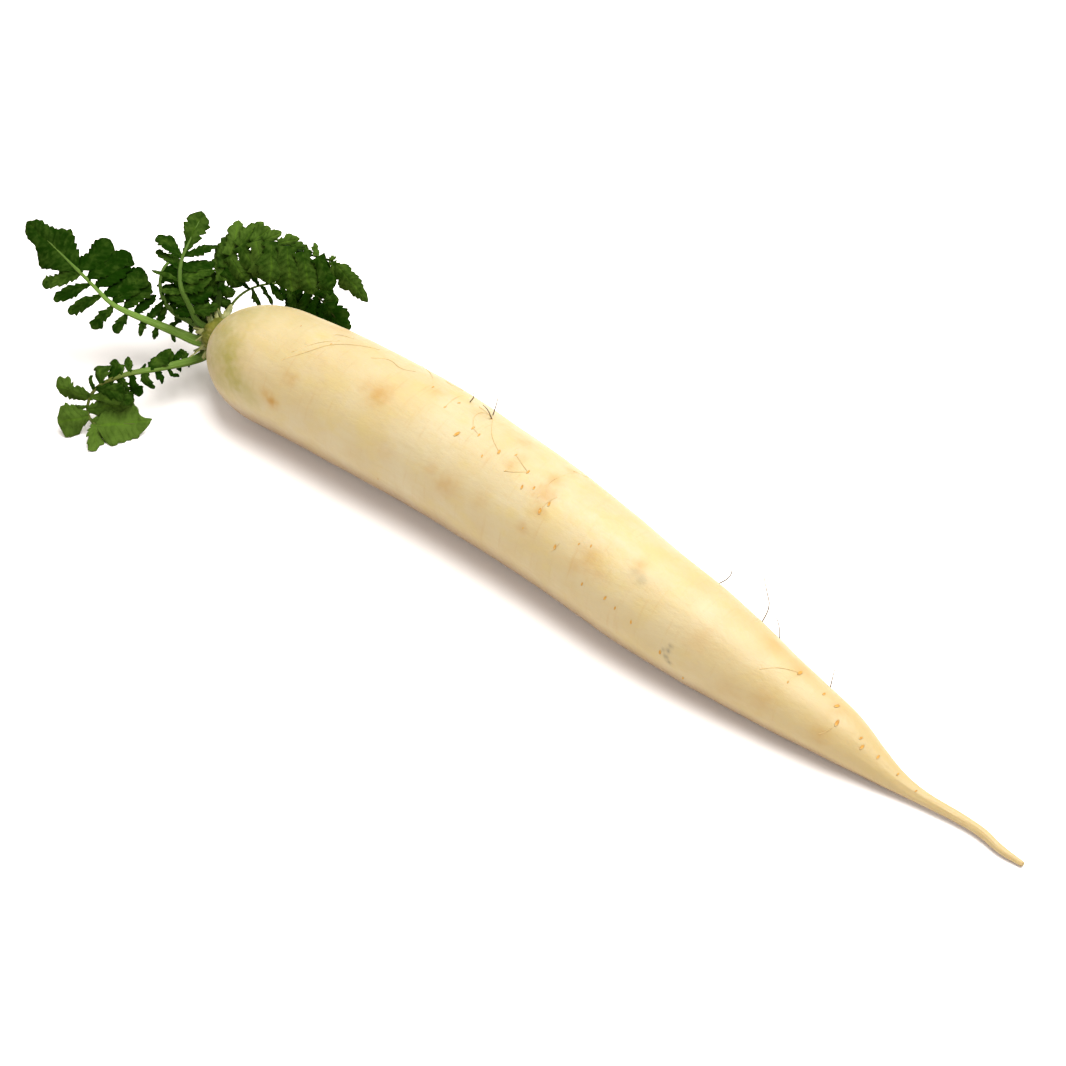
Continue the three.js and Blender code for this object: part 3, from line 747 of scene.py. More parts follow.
def all_scars():
    scars = []
    for number, (pixel, size) in enumerate(SEEN_SCARS):
        point, normal = on_skin(pixel)
        placing = lay_on_skin(point, normal, size * SEEN_SIZE, SEEN_TURN * wobble(number + 200))
        scars.append(placed_copy(first_scar, placing, "scar"))
    for number in range(BACK_SCARS):
        point, normal = back_of_root(number)
        size = BACK_SIZE + BACK_SIZE_SPREAD * wobble(number + 400)
        placing = lay_on_skin(point, normal, size, BACK_TURN * wobble(number + 450))
        scars.append(placed_copy(first_scar, placing, "scar"))
    return scars


scars = joined(all_scars(), "rootlet_scars")
bpy.data.objects.remove(first_scar)
rooted(scars, "root_skin")

# %% [markdown]
# ## Rootlets
# Some side roots are still there: fine threads that lie on the skin, and a few that stand up
# like hairs. Each is a curve through a handful of points with a little thickness that tapers
# to the end, turned into a mesh. The standing hairs are the threads' colour painted much
# darker, a painted shade for how they show against the bright table.

# %% Rootlets
THREAD_THICKNESS = 0.3
HAIR_THICKNESS = 0.62
LYING_THREADS = [
    [(282, 360), (307, 352), (331, 345), (361, 346), (380, 350)],
    [(305, 344), (336, 335), (354, 339)],
    [(292, 352), (318, 343), (340, 341)],
    [(371, 358), (389, 360), (402, 369), (416, 372)],
    [(423, 364), (432, 376), (433, 386)],
    [(436, 373), (448, 383), (463, 391)],
    [(445, 407), (454, 399), (464, 395)],
    [(499, 452), (492, 436), (492, 425), (493, 415)],
    [(479, 407), (486, 412), (492, 419)],
    [(473, 428), (475, 416), (484, 413), (492, 417)],
    [(473, 428), (479, 435)],
    [(528, 472), (522, 464), (516, 455)],
    [(504, 471), (513, 472), (528, 472)],
    [(539, 511), (547, 503), (557, 497)],
    [(537, 498), (552, 481), (565, 475)],
    [(573, 471), (588, 478)],
    [(552, 551), (558, 545), (560, 543)],
    [(760, 669), (780, 668), (800, 673)],
    [(788, 682), (797, 675)],
    [(819, 734), (829, 730), (837, 723)],
]
STANDING_HAIRS = [
    [(493, 415), (497, 402), (499, 391)],
    [(492, 419), (487, 409), (483, 405)],
    [(721, 581), (730, 576), (732, 564), (732, 546)],
    [(764, 622), (769, 606), (767, 592), (764, 576), (764, 562)],
    [(783, 640), (779, 626), (773, 609)],
    [(836, 682), (835, 668)],
    [(470, 402), (474, 396), (472, 391)],
]
THREAD_TAPER = 0.6

dry_rootlet = grained_finish(
    "dry rootlet", 500, (0.5, 0.36, 0.16, 1), (0.42, 0.28, 0.1, 1), 0.7, 0.05
)
# Painted shade: the threads' colour made about three times darker for the standing hairs.
hair_in_painted_shade = grained_finish(
    "standing root hair", 500, (0.16, 0.11, 0.05, 1), (0.1, 0.07, 0.03, 1), 0.7, 0.05
)


def thread_through(points, thickness, name):
    """A thin tapering thread through points, as a mesh."""
    select_none()
    bpy.ops.curve.primitive_nurbs_path_add()
    thread = bpy.context.object
    thread.name = name
    thread.data.splines.clear()
    spline = thread.data.splines.new("BEZIER")
    spline.bezier_points.add(len(points) - 1)
    for number, (knot, point) in enumerate(zip(spline.bezier_points, points)):
        knot.co = point
        knot.handle_left_type = "AUTO"
        knot.handle_right_type = "AUTO"
        knot.radius = 1 - THREAD_TAPER * number / (len(points) - 1)
    spline.resolution_u = 5
    thread.data.bevel_depth = thickness * MM / 2
    thread.data.bevel_resolution = 1
    thread.data.use_fill_caps = True
    only(thread)
    bpy.ops.object.convert(target="MESH")
    bpy.ops.object.shade_smooth()
    return bpy.context.object


def lying_points(pixels):
    """Points on the skin, lifted by a thread's half thickness."""
    found = [on_skin(pixel) for pixel in pixels]
    return [point + normal * THREAD_THICKNESS * MM * 0.5 for point, normal in found]


def standing_points(pixels):
    """From a point on the skin, upwards in the plane through it that faces the camera."""
    foot, _ = on_skin(pixels[0])
    facing = Vector((LOOK.x, LOOK.y, 0)).normalized()
    points = [foot]
    for pixel in pixels[1:]:
        ray = sight_line(pixel)
        reach = (foot - CAMERA_PLACE).dot(facing) / ray.dot(facing)
        points.append(CAMERA_PLACE + ray * reach)
    return points


threads = [thread_through(lying_points(row), THREAD_THICKNESS, "thread") for row in LYING_THREADS]
hairs = [thread_through(standing_points(row), HAIR_THICKNESS, "hair") for row in STANDING_HAIRS]
for pieces, name, finish in ((threads, "rootlets", dry_rootlet), (hairs, "root_hairs", hair_in_painted_shade)):
    whole = joined(pieces, name)
    whole.data.materials.clear()
    whole.data.materials.append(finish)
    rooted(whole, "root_skin")

# %% [markdown]
# ## The leaves' numbers
# Each leaf is a rib with pairs of leaflets and an end lobe. The table says where the rib runs,
# how wide the stalk is, which way the upper face looks, and each side's leaflets as length and
# width, from the stalk outwards, some with an extra lean. Lean, droop and roll are angles in
# degrees; roll tips the leaflets over one another like shingles.
#
# The ribs are those of the solid model. So is the rest, apart from colour and crumple and
# from two leaves: most leaflets and the end lobe of leaf_b were laid out again for this script,
# and the stalk of leaf_c is slimmer. Many of the ribs' points were not chosen by hand: another
# program worked out X and Y from where a point is seen and a height that was guessed.

# %% The leaves' numbers
PADDLE = [(0.17, 0.62), (0.42, 0.94), (0.7, 1.06), (0.9, 0.92), (1, 0.62)]
POINTED = [(0.17, 0.74), (0.42, 1.0), (0.7, 0.84), (0.9, 0.52), (1, 0.26)]
HEART_LOBE = [(0, 0.16), (0.16, 0.8), (0.36, 1.06), (0.62, 0.86), (0.88, 0.56), (1, 0.3)]
TIPPED_LOBE = [
    (0, 0.16), (0.14, 0.72), (0.3, 1.06), (0.5, 1.02), (0.68, 0.8), (0.82, 0.44), (0.9, 0.2), (1, 0.06),
]
CLUB_LOBE = [(0, 0.16), (0.2, 0.46), (0.5, 0.84), (0.75, 1.06), (0.92, 0.92), (1, 0.6)]
TOWARDS_CAMERA = (0.46, -0.54, 0.7)
NOT_DRY = [(0, 0), (1, 0)]
LEAVES = [
    {
        "name": "leaf_a",
        "rib": [
            (-149, -11, 26), (-156, -15.5, 25), (-165.2, -19, 27), (-174.5, -26.2, 33),
            (-184.6, -32.5, 38), (-192.8, -35.9, 42), (-200.6, -36.4, 46), (-208.4, -36.8, 50),
            (-215, -37, 53),
        ],
        "stalk": (6.4, 1.7),
        "sink": 0,
        "face": (0.42, -0.5, 0.75),
        "span": (0.3, 0.96),
        "plus": [
            (7, 3.2, 14), (10, 4.4, -10), (13, 5, 6), (15, 6.4), (19, 9.6), (22, 10.6), (23.5, 11.4),
            (24, 12), (23, 13, 4), (22, 15, -4),
        ],
        "minus": [
            (6, 2.8, 10), (7.5, 3.2, -8), (9, 4, 8), (12, 5.2, -4), (16, 5.8), (19, 6.2), (20, 6.4),
            (20.5, 9),
        ],
        "lean_plus": (112, 88),
        "lean_minus": (112, 58),
        "lean_wander": 5,
        "droop_plus": (0, 0),
        "droop_minus": (4, 4),
        "droop_wander": 7,
        "roll": (18, 0),
        "pointed": (0.35, 0.3),
        "foot": 0.24,
        "curl": 14,
        "cup": 0.2,
        "crumple": 0.7,
        "lobe": (36, 19),
        "lobe_from": 0.97,
        "lobe_shape": HEART_LOBE,
        "lobe_turn": 0,
        "lobe_curl": 10,
        "tone": [(0, 0.1), (0.5, -0.06), (0.8, -0.06), (1, 0)],
        "tone_minus": 0.2,
        "stalk_tone_and_shade": [(0, 1), (0.6, 0.9), (1, 0.5)],
        "dry": NOT_DRY,
    },
    {
        "name": "leaf_b",
        "rib": [
            (-150, -11, 21), (-153, -17.5, 17.5), (-153.3, -26, 20), (-155.5, -36.1, 23),
            (-158.6, -45.3, 25), (-163.3, -53.5, 25.5), (-167.2, -60.5, 24.5), (-170.4, -65.3, 22.5),
            (-172.8, -68.8, 19), (-173.4, -71.8, 15), (-172.4, -74.2, 11.5), (-169.5, -75.8, 8.5),
            (-164.7, -75.8, 6.2), (-159.5, -73.6, 5.4),
        ],
        "stalk": (5.6, 1.3),
        "sink": 0.5,
        "face": (0.22, -0.34, 0.92),
        "span": (0.2, 0.92),
        "plus": [
            (10, 4, -27), (8, 4, -10), (12, 5.4, -4), (7, 4), (15, 8, 26), (6, 4, 12), (8.5, 4.4, -9),
            (11, 7.4, -16), (10, 7.4, 14), (10, 8.4, 8), (6, 5), (20, 10.5, -8), (6, 3), (14.5, 14.5, 18),
            (14, 10, -30),
        ],
        "minus": [
            (4, 2.4, 14), (6, 3), (9, 3.4, 13), (9, 3.6, -8), (10, 4.6, -3), (13, 6, -15), (14, 7, -8),
            (16, 7, 14), (16, 6.4, 30), (17, 7, 18), (22, 12), (12, 7, -20),
        ],
        "lean_plus": (138, 72),
        "lean_minus": (126, 84),
        "lean_wander": 5,
        "droop_plus": (-8, -8),
        "droop_minus": (26, 4),
        "droop_wander": 12,
        "roll": (16, -14),
        "pointed": (0.6, 0.42),
        "foot": 0.4,
        "curl": 26,
        "cup": 0.3,
        "crumple": 2.2,
        "lobe": (27, 22),
        "lobe_from": 0.93,
        "lobe_shape": TIPPED_LOBE,
        "lobe_turn": -40,
        "lobe_curl": 2,
        "tone": [(0, 0.1), (0.6, 0.12), (0.7, 0.3), (0.78, 0.9), (0.9, 1.05), (1, 1.2)],
        "tone_minus": -0.15,
        "stalk_tone_and_shade": [(0, 0.7), (0.4, 0.75), (0.7, 0.5), (1, 0.4)],
        "dry": [(0, 0), (0.4, 0.1), (0.55, 0.6), (1, 0.3)],
    },
    {
        "name": "leaf_c",
        "rib": [
            (-151, -10, 31), (-156, -14, 36), (-159.7, -14.6, 43.6), (-164.5, -14.4, 51.7),
            (-169, -10.5, 56.6), (-172.3, -5.5, 60.3), (-174.1, -0.4, 63.6),
        ],
        "stalk": (3.9, 1.7),
        "sink": 0,
        "face": TOWARDS_CAMERA,
        "span": (0.3, 0.9),
        "plus": [
            (13, 8), (14, 8.4, 5), (15, 8.4, 6), (16.5, 9, 3), (17, 9, 4), (18, 6.4, -11),
        ],
        "minus": [
            (9, 6), (9, 6, -6), (10, 4.4, 6), (16.5, 3, 4), (16.5, 5), (16.5, 8),
        ],
        "lean_plus": (96, 62),
        "lean_minus": (60, 50),
        "lean_wander": 3,
        "droop_plus": (0, -6),
        "droop_minus": (6, 0),
        "droop_wander": 10,
        "roll": (18, -18),
        "pointed": (1.1, 0.7),
        "foot": 0.3,
        "curl": 18,
        "cup": 0.22,
        "crumple": 0.8,
        "lobe": (22.5, 11.6),
        "lobe_from": 0.93,
        "lobe_shape": CLUB_LOBE,
        "lobe_turn": 4,
        "lobe_curl": 4,
        "tone": [(0, -0.06), (0.5, 0.04), (0.95, 0.14), (1, 0.34)],
        "tone_minus": 0.15,
        "stalk_tone_and_shade": [(0, 0.3), (0.6, 0.45), (1, 0.5)],
        "dry": NOT_DRY,
    },
    {
        "name": "leaf_d",
        "rib": [
            (-151, -8, 31), (-153.8, -3, 38.1), (-154.9, 1.6, 47.5), (-156.5, 7, 56), (-155.8, 12, 62.7),
            (-152.3, 17, 66.3), (-147.2, 21.5, 68), (-141.9, 25.5, 67.8), (-135.4, 29, 66.6),
            (-129.9, 32, 64.6), (-125.1, 35, 62.9), (-121, 37.6, 61.7), (-117.9, 40.4, 59.9),
            (-115.3, 42.3, 56.7),
        ],
        "stalk": (4.0, 1.1),
        "sink": 1.8,
        "face": TOWARDS_CAMERA,
        "span": (0.06, 0.96),
        "plus": [
            (6, 5, -20), (7, 6, -20), (8, 6.4, 10), (12, 8, 16), (16, 10, 10), (19, 12, -2), (20, 13, -5),
            (20, 13.4, -2), (22, 14), (21, 13), (18, 11, -8), (10, 6, -4),
        ],
        "minus": [
            (13, 8, 42), (18, 9, 4), (17, 10, 24), (18, 9, 4), (20, 10, -4), (19, 10, -4), (18, 10, 2),
            (13, 8, 8), (11, 7, 12), (12, 7), (10, 6, -8), (6, 5, -10), (10.5, 4.6, 84), (5, 4),
        ],
        "lean_plus": (128, 46),
        "lean_minus": (8, 24),
        "lean_wander": 4,
        "droop_plus": (-10, -6),
        "droop_minus": (2, 14),
        "droop_wander": 8,
        "roll": (11, -15),
        "pointed": (0, 1.1),
        "foot": 0.85,
        "curl": 46,
        "cup": 0.5,
        "crumple": 1.0,
        "lobe": (28, 11),
        "lobe_from": 0.97,
        "lobe_shape": HEART_LOBE,
        "lobe_turn": 11,
        "lobe_curl": 14,
        "tone": [(0, 0.11), (0.3, 0.37), (0.55, 0.57), (0.75, 0.37), (0.88, 0.27), (1, 0.49)],
        "tone_minus": 0.15,
        # Painted shade: this rib's stalk tone is near 0, the near-black green of STALK_DARK, as shade under
        # its leaflets.
        "stalk_tone_and_shade": [(0, 0.2), (0.25, 0), (1, 0)],
        "dry": NOT_DRY,
    },
    {
        "name": "leaf_e",
        "rib": [
            (-150, -3, 28.5), (-152.4, 2.2, 33), (-151.9, 8, 38.3), (-150.2, 16, 40.5), (-148.1, 26, 38.5),
            (-143.3, 36, 34.8), (-137.1, 43, 28.7), (-129.3, 47, 21.5),
        ],
        "stalk": (1.5, 0.9),
        "sink": 0.4,
        "face": TOWARDS_CAMERA,
        "span": (0.36, 0.97),
        "plus": [
            (11, 4.4, -22), (12, 4.6, -24), (12, 4.8, -24), (12, 5, -20), (14, 8), (17, 12), (20, 13),
            (20, 12), (20, 12),
        ],
        "minus": [
            (7, 3), (8, 4, 8), (10, 5), (11, 7, -6), (14, 9), (15, 10, 6), (14, 9), (11, 8, -6), (9, 7),
        ],
        "lean_plus": (84, 50),
        "lean_minus": (84, 40),
        "lean_wander": 8,
        "droop_plus": (10, 0),
        "droop_minus": (10, 4),
        "droop_wander": 12,
        "roll": (18, -16),
        "pointed": (0.4, 0.3),
        "foot": 0.34,
        "curl": 24,
        "cup": 0.3,
        "crumple": 1.8,
        "lobe": (19, 12),
        "lobe_from": 0.97,
        "lobe_shape": HEART_LOBE,
        "lobe_turn": 14,
        "lobe_curl": 12,
        "tone": [(0, 0.02), (1, -0.04)],
        "tone_minus": 0,
        "stalk_tone_and_shade": [(0, 0.8), (0.45, 0.8), (0.52, 0), (1, 0)],
        "dry": [(0, 0.2), (1, 0.2)],
    },
    {
        "name": "leaf_f",
        "rib": [
            (-152, -8, 28.5), (-160, -9.8, 28), (-168.1, -11, 28.7), (-174.3, -13, 31), (-181.2, -12.4, 34.5),
            (-187.4, -8.5, 38.5), (-191.4, -2.3, 42), (-192, 4.4, 44),
        ],
        "stalk": (3.8, 1.5),
        "sink": 0,
        "face": TOWARDS_CAMERA,
        "span": (0.16, 0.97),
        "plus": [
            (12, 9), (15, 10, 6), (17, 11.5), (19, 12, -6), (20, 12), (19, 12, 6), (16, 11), (12, 9, -4),
            (8, 7),
        ],
        "minus": [
            (5, 4), (5, 4, 8), (4.5, 4), (3.5, 3, -6), (3, 2.4), (2.8, 2.4, 6), (2.8, 2.4), (3, 2.4),
        ],
        "lean_plus": (96, 58),
        "lean_minus": (96, 64),
        "lean_wander": 7,
        "droop_plus": (6, 4),
        "droop_minus": (10, 8),
        "droop_wander": 10,
        "roll": (20, -14),
        "pointed": (0.2, 1.1),
        "foot": 0.5,
        "curl": 24,
        "cup": 0.3,
        "crumple": 1.4,
        "lobe": (8, 7),
        "lobe_from": 0.95,
        "lobe_shape": HEART_LOBE,
        "lobe_turn": 0,
        "lobe_curl": 16,
        "tone": [(0, 0.1), (1, 0.06)],
        "tone_minus": 0.05,
        "stalk_tone_and_shade": [(0, 0.6), (1, 0.7)],
        "dry": NOT_DRY,
    },
]
print("leaves in the table:", len(LEAVES))

# %% [markdown]
# ## A leaf's rib as a line
# Everything on a leaf hangs on its rib. This cell turns the rib's points into a smooth line that
# can be asked for a place at any share of its length, with three directions there: along the
# rib, across the leaf, and out of its upper face.

# %% A leaf's rib as a line
RIB_SAMPLES = 240
TANGENT_BACK = 5
TANGENT_AHEAD = 4


def rib_line(leaf):
    """A function from share of the rib's length to (point, along, across, face), and the length."""
    rows = leaf["rib"]
    points = [
        Vector(smooth_row(rows, k / RIB_SAMPLES * (len(rows) - 1))) for k in range(RIB_SAMPLES + 1)
    ]
    lengths = [0.0]
    for before, after in zip(points, points[1:]):
        lengths.append(lengths[-1] + (after - before).length)
    outlook = Vector(leaf["face"])

    def at(share):
        target = share * lengths[-1]
        following = max(1, next(k for k, value in enumerate(lengths) if value >= target - 1e-9))
        f = (target - lengths[following - 1]) / (lengths[following] - lengths[following - 1])
        point = points[following - 1].lerp(points[following], f)
        low = max(0, following - TANGENT_BACK)
        high = min(RIB_SAMPLES, following + TANGENT_AHEAD)
        along = (points[high] - points[low]).normalized()
        across = along.cross(outlook).normalized()
        return point, along, across, across.cross(along)

    return at, lengths[-1]


print("rib lengths, mm:", [round(rib_line(leaf)[1], 1) for leaf in LEAVES])

# %% [markdown]
# ## Finishes for the leaves
# A leaflet is dark and slightly glossy above, paler and matt below, with pale veins. The veins
# have to follow the blade, so each point carries an attribute, grain: how far it is across
# the blade and where it is along the veins. A second one, look, holds the leaflet's own tone,
# less a painted shade at its foot. Tissue midway between side veins, where it puffs up, is
# painted lighter and tissue by the veins darker: a painted highlight and shade. The stalk uses
# the same two for fibres that run its whole length and for its tone and dryness; on leaf_d's
# rib the low tone is painted shade under the leaflets.

# %% Finishes for the leaves
BLADE_DARK = (0.0045, 0.019, 0.0008, 1)
BLADE_BRIGHT = (0.058, 0.102, 0.014, 1)
UNDER_DARK = (0.02, 0.042, 0.009, 1)
UNDER_BRIGHT = (0.07, 0.11, 0.03, 1)
VEIN_DIM = (0.01, 0.026, 0.002, 1)
VEIN_CLEAR = (0.06, 0.122, 0.008, 1)
STALK_DARK = (0.006, 0.018, 0.0006, 1)
STALK_GREEN = (0.085, 0.16, 0.018, 1)
STALK_PALE = (0.15, 0.24, 0.05, 1)
STALK_BROWN = (0.07, 0.05, 0.012, 1)
VEIN_SLANT = 1.6
ROUGHNESS_SPREAD = 0.14
FIBRE_STRETCH = (5, 5, 0.12)


def leaf_attribute(material, name):
    vector = add_node(material, "Attribute", attribute_name=name).outputs["Vector"]
    return add_node(material, "SeparateXYZ", {"Vector": vector}).outputs


def vein_lines(material):
    """How strongly a vein shows, from 0 to 1, and how far the tissue is from a side vein."""
    grain = leaf_attribute(material, "grain")
    off_middle = maths(material, "ABSOLUTE", grain["X"])
    midvein = remap(material, off_middle, 0.03, 0.12, 1, 0)
    slanted = maths(material, "MULTIPLY", off_middle, VEIN_SLANT)
    counted = maths(material, "SUBTRACT", grain["Y"], slanted)
    apart = maths(material, "PINGPONG", counted, 0.5)
    side = remap(material, apart, 0.03, 0.13, 0.4, 0)
    return maths(material, "MAXIMUM", midvein, side), apart


def blade_finish(name, dark, bright, vein_strength, roughness):
    material, shader = new_finish(name)
    veins, apart = vein_lines(material)
    tone = leaf_attribute(material, "look")["X"]
    place = place_in_piece(material)
    mottle = speckle(material, place, 240, 4, 0.6)
    light = maths(material, "ADD", tone, remap(material, mottle, 0.3, 0.75, -0.3, 0.32))
    # Painted highlight and shade: lighter midway between side veins, where the tissue puffs up, darker by the
    # veins.
    light = maths(material, "ADD", light, remap(material, apart, 0.0, 0.5, -0.05, 0.08))
    colour = tint(material, remap(material, light, -0.3, 1.45), dark, bright)
    vein_factor = maths(material, "MULTIPLY", veins, vein_strength)
    vein = tint(material, remap(material, light, -0.1, 0.9), VEIN_DIM, VEIN_CLEAR)
    colour = tint(material, vein_factor, colour, vein)
    wire(material, colour, shader, "Base Color")
    gloss = remap(material, mottle, 0.3, 0.7, roughness, roughness + ROUGHNESS_SPREAD)
    wire(material, gloss, shader, "Roughness")
    plain_inputs(shader, Specular_IOR_Level=0.0)
    puckers = speckle(material, place, 1400, 3, 0.6)
    height = maths(material, "SUBTRACT", maths(material, "MULTIPLY", puckers, 0.6), veins)
    relief(material, shader, height, 0.16 * MM, 0.8)
    return material


def stalk_finish():
    material, shader = new_finish("leaf stalk")
    grain = add_node(material, "Attribute", attribute_name="grain").outputs["Vector"]
    look = leaf_attribute(material, "look")
    mapping = {"Vector": grain, "Scale": FIBRE_STRETCH}
    stretched = add_node(material, "Mapping", mapping).outputs["Vector"]
    fibres = speckle(material, stretched, 1, 3, 0.6)
    green = tint(material, remap(material, fibres, 0.35, 0.68), STALK_GREEN, STALK_PALE)
    blotch = speckle(material, place_in_piece(material), 120, 3)
    green = tint(material, remap(material, blotch, 0.5, 0.8, 0, 0.4), green, STALK_GREEN)
    # A low tone darkens the stalk towards STALK_DARK; on leaf_d's rib that is painted shade under its
    # leaflets.
    colour = tint(material, look["X"], STALK_DARK, green)
    colour = tint(material, look["Y"], colour, STALK_BROWN)
    wire(material, colour, shader, "Base Color")
    plain_inputs(shader, Roughness=0.45, Specular_IOR_Level=0.05)
    relief(material, shader, fibres, 0.18 * MM, 0.7)
    return material


blade_upper = blade_finish("leaf blade above", BLADE_DARK, BLADE_BRIGHT, 0.42, 0.44)
blade_under = blade_finish("leaf blade below", UNDER_DARK, UNDER_BRIGHT, 0.6, 0.62)
leaf_stalk = stalk_finish()
print("leaf finishes ready")

# %% [markdown]
# ## One flat blade
# Every leaflet starts as the same flat grid, a unit long and from -1 to 1 across. It is modelled
# once, and each copy gets its outline with teeth, its bend and its ruffle from moved points,
# because no bend operator works without a window.

# %% One flat blade
BLADE_ROWS = 40
BLADE_COLUMNS = 10


def with_attributes(piece):
    """Gives a piece the two attributes that the leaf finishes read."""
    for name in ("grain", "look"):
        piece.data.attributes.new(name, "FLOAT_VECTOR", "POINT")
    return piece


def modelled_flat_blade():
    select_none()
    bpy.ops.mesh.primitive_grid_add(x_subdivisions=BLADE_ROWS, y_subdivisions=BLADE_COLUMNS, size=1)
    edit_all()
    bpy.ops.transform.translate(value=(0.5, 0, 0))
    bpy.ops.transform.resize(value=(1, 2, 1), center_override=(0, 0, 0))
    return with_attributes(leave_edit())


flat_blade = modelled_flat_blade()
print("flat blade:", len(flat_blade.data.vertices), "points")

# %% [markdown]
# ## A blade's edge
# The outline is a smooth curve of half widths. Saw teeth that point to the tip cut it where the
# side veins end, and a slow noise makes it ragged, so that no two leaflets match.

# %% A blade's edge
TOOTH_LENGTH = 3.1
TOOTH_DEPTH = 1.25
DEEPEST_TOOTH = 0.42
TOOTH_VARIATION = (0.9, 0.7)
TOOTH_WARP = 0.45
TOOTH_HOLLOW = 1.2
RAGGEDNESS = 0.36
CLOSING = 0.12
CLOSING_POWER = 2.4


def smooth_value(table, place):
    """The smooth value of a table of (place, value) rows at a place."""
    row = next((k for k in range(1, len(table)) if table[k][0] >= place), len(table) - 1)
    span = table[row][0] - table[row - 1][0]
    return smooth_row(table, row - 1 + (place - table[row - 1][0]) / span)[1]


def rounded_end(share):
    """Closes a blade round its tip."""
    past = max(0.0, (share - 1 + CLOSING) / CLOSING)
    return (1 - past**CLOSING_POWER) ** 0.5


def tooth_cut(counted, half, seed):
    """How much of the edge is left by the saw teeth, which point to the tip."""
    warped = counted + TOOTH_WARP * noise.noise(Vector((seed * 1.7, counted * 0.8, 0)))
    number = math.floor(warped)
    rise = warped - number
    usual, spread = TOOTH_VARIATION
    own_depth = usual + spread * wobble(seed + number * 0.37)
    depth = min(DEEPEST_TOOTH, TOOTH_DEPTH / max(0.1, half)) * own_depth
    return 1 - depth * (1 - rise) ** TOOTH_HOLLOW


def half_width(outline, width, share, teeth, side, seed):
    """The half width at a share of the length: the smooth body, and the toothed edge."""
    body = width / 2 * smooth_value(outline, share) * rounded_end(share)
    wander = RAGGEDNESS * noise.noise(Vector((share * 3.4, seed * 3.1, 4.0 * side)))
    cut = tooth_cut(share * teeth + 0.25 * (1 + side), body, seed + 7 - 2 * side)
    return body * (1 + wander * min(1, share * 3)), cut


sample_half, _ = half_width(PADDLE, 10, 0.5, 7, 1, 3)
print("a leaflet 10 wide is this wide half way:", round(2 * sample_half, 1))

# %% [markdown]
# ## Bending a blade into place
# The tissue between the veins puffs up, the midvein sinks into a groove, the edges hang down
# and ripple, and the blade curls down over its length. Wilted leaves are crumpled as well: one
# noise moves the points of neighbouring leaflets together, so that they don't cut one another.
# That noise has a seed, because without one it is new in each run.

# %% Bending a blade into place
SWAY_VARIATION = 0.1
TWIST_VARIATION = 16
CUP_VARIATION = 0.15
TONE_VARIATION = 0.26
CUT_POWER = 3
SETTLE_RATE = 4
RIPPLE = 0.14
RIPPLE_TURN = 9
PUFF = 0.12
GROOVE = 0.35
GROOVE_NARROWNESS = 5
GROOVED_BODY = 3
CRUMPLE_ONSET = 2.5
FOOT_SHADE = 0.2
FOOT_SHADE_RATE = 3
CRUMPLE_SIZE = 7
CRUMPLE_SEED = 3
LOWEST_LEAF = 0.4
noise.seed_set(CRUMPLE_SEED)


def blade_midline(start, along, face, length, curl, steps):
    """The points down a blade's middle, with the heading and the upward direction at each."""
    point = start.copy()
    midline = []
    for k in range(steps + 1):
        bend = k / steps * curl * DEGREE
        heading = along * math.cos(bend) - face * math.sin(bend)
        if k > 0:
            point = point + heading * length / steps
        midline.append((point, heading, face * math.cos(bend) + along * math.sin(bend)))
    return midline


def bend_blade(blade, leaf, stance, size, outline, curl, seed, tone):
    """Moves a flat blade's points to its place and writes their grain and look."""
    start, along, face = stance
    length, width = size
    across = along.cross(face)
    teeth = max(3, round(length / TOOTH_LENGTH))
    sway = SWAY_VARIATION * wobble(seed + 0.2)
    twist = TWIST_VARIATION * wobble(seed + 0.7) * DEGREE
    cup = leaf["cup"] + CUP_VARIATION * wobble(seed + 0.4)
    own_tone = tone + TONE_VARIATION * wobble(seed + 0.9)
    grain = blade.data.attributes["grain"]
    look = blade.data.attributes["look"]
    midline = blade_midline(start, along, face, length, curl, BLADE_ROWS)
    for number, vertex in enumerate(blade.data.vertices):
        share = min(1.0, max(0.0, vertex.co.x))
        w = vertex.co.y
        edge = 1 if w > 0 else -1
        centre, _, upward = midline[round(share * BLADE_ROWS)]
        turn = twist * share
        side = across * math.cos(turn) + upward * math.sin(turn)
        upward = upward * math.cos(turn) - across * math.sin(turn)
        body, cut = half_width(outline, width, share, teeth, edge, seed)
        half = body * (1 + (cut - 1) * abs(w) ** CUT_POWER)
        set_in = min(1.0, share * SETTLE_RATE)
        ripple = RIPPLE * half * math.sin(share * RIPPLE_TURN + seed)
        lower = abs(w) * (half * cup + w * ripple) * set_in
        counted = share * teeth - abs(w) * VEIN_SLANT
        puff = PUFF * body * abs(math.sin(math.pi * counted)) * math.sin(math.pi * min(1, abs(w)))
        groove = GROOVE * max(0.0, 1 - abs(w) * GROOVE_NARROWNESS) * min(1.0, body / GROOVED_BODY)
        drift = sway * length * share**2
        point = centre + side * (w * half + drift) + upward * (puff * set_in - lower - groove)
        crumpled = noise.noise_vector(point / CRUMPLE_SIZE) * leaf["crumple"]
        point += crumpled * min(1, share * CRUMPLE_ONSET)
        point.z = max(LOWEST_LEAF, point.z)
        vertex.co = point * MM
        grain.data[number].vector = (w, share * teeth, 0)
        # Painted shade: each leaflet is darker at its foot, next to the rib.
        darker_foot = FOOT_SHADE * max(0.0, 1 - share * FOOT_SHADE_RATE)
        look.data[number].vector = (own_tone - darker_foot, 0, 0)


print("teeth on a 20 mm leaflet:", round(20 / TOOTH_LENGTH), "a side")

# %% [markdown]
# ## One straight stalk
# A daikon's leaf stalk is a thick, juicy rod with ridges on its back and a channel on
# top. It is modelled once, straight and a unit long, by extruding a ring along X and pushing
# its top in, and each leaf's copy is then bent along that leaf's rib.

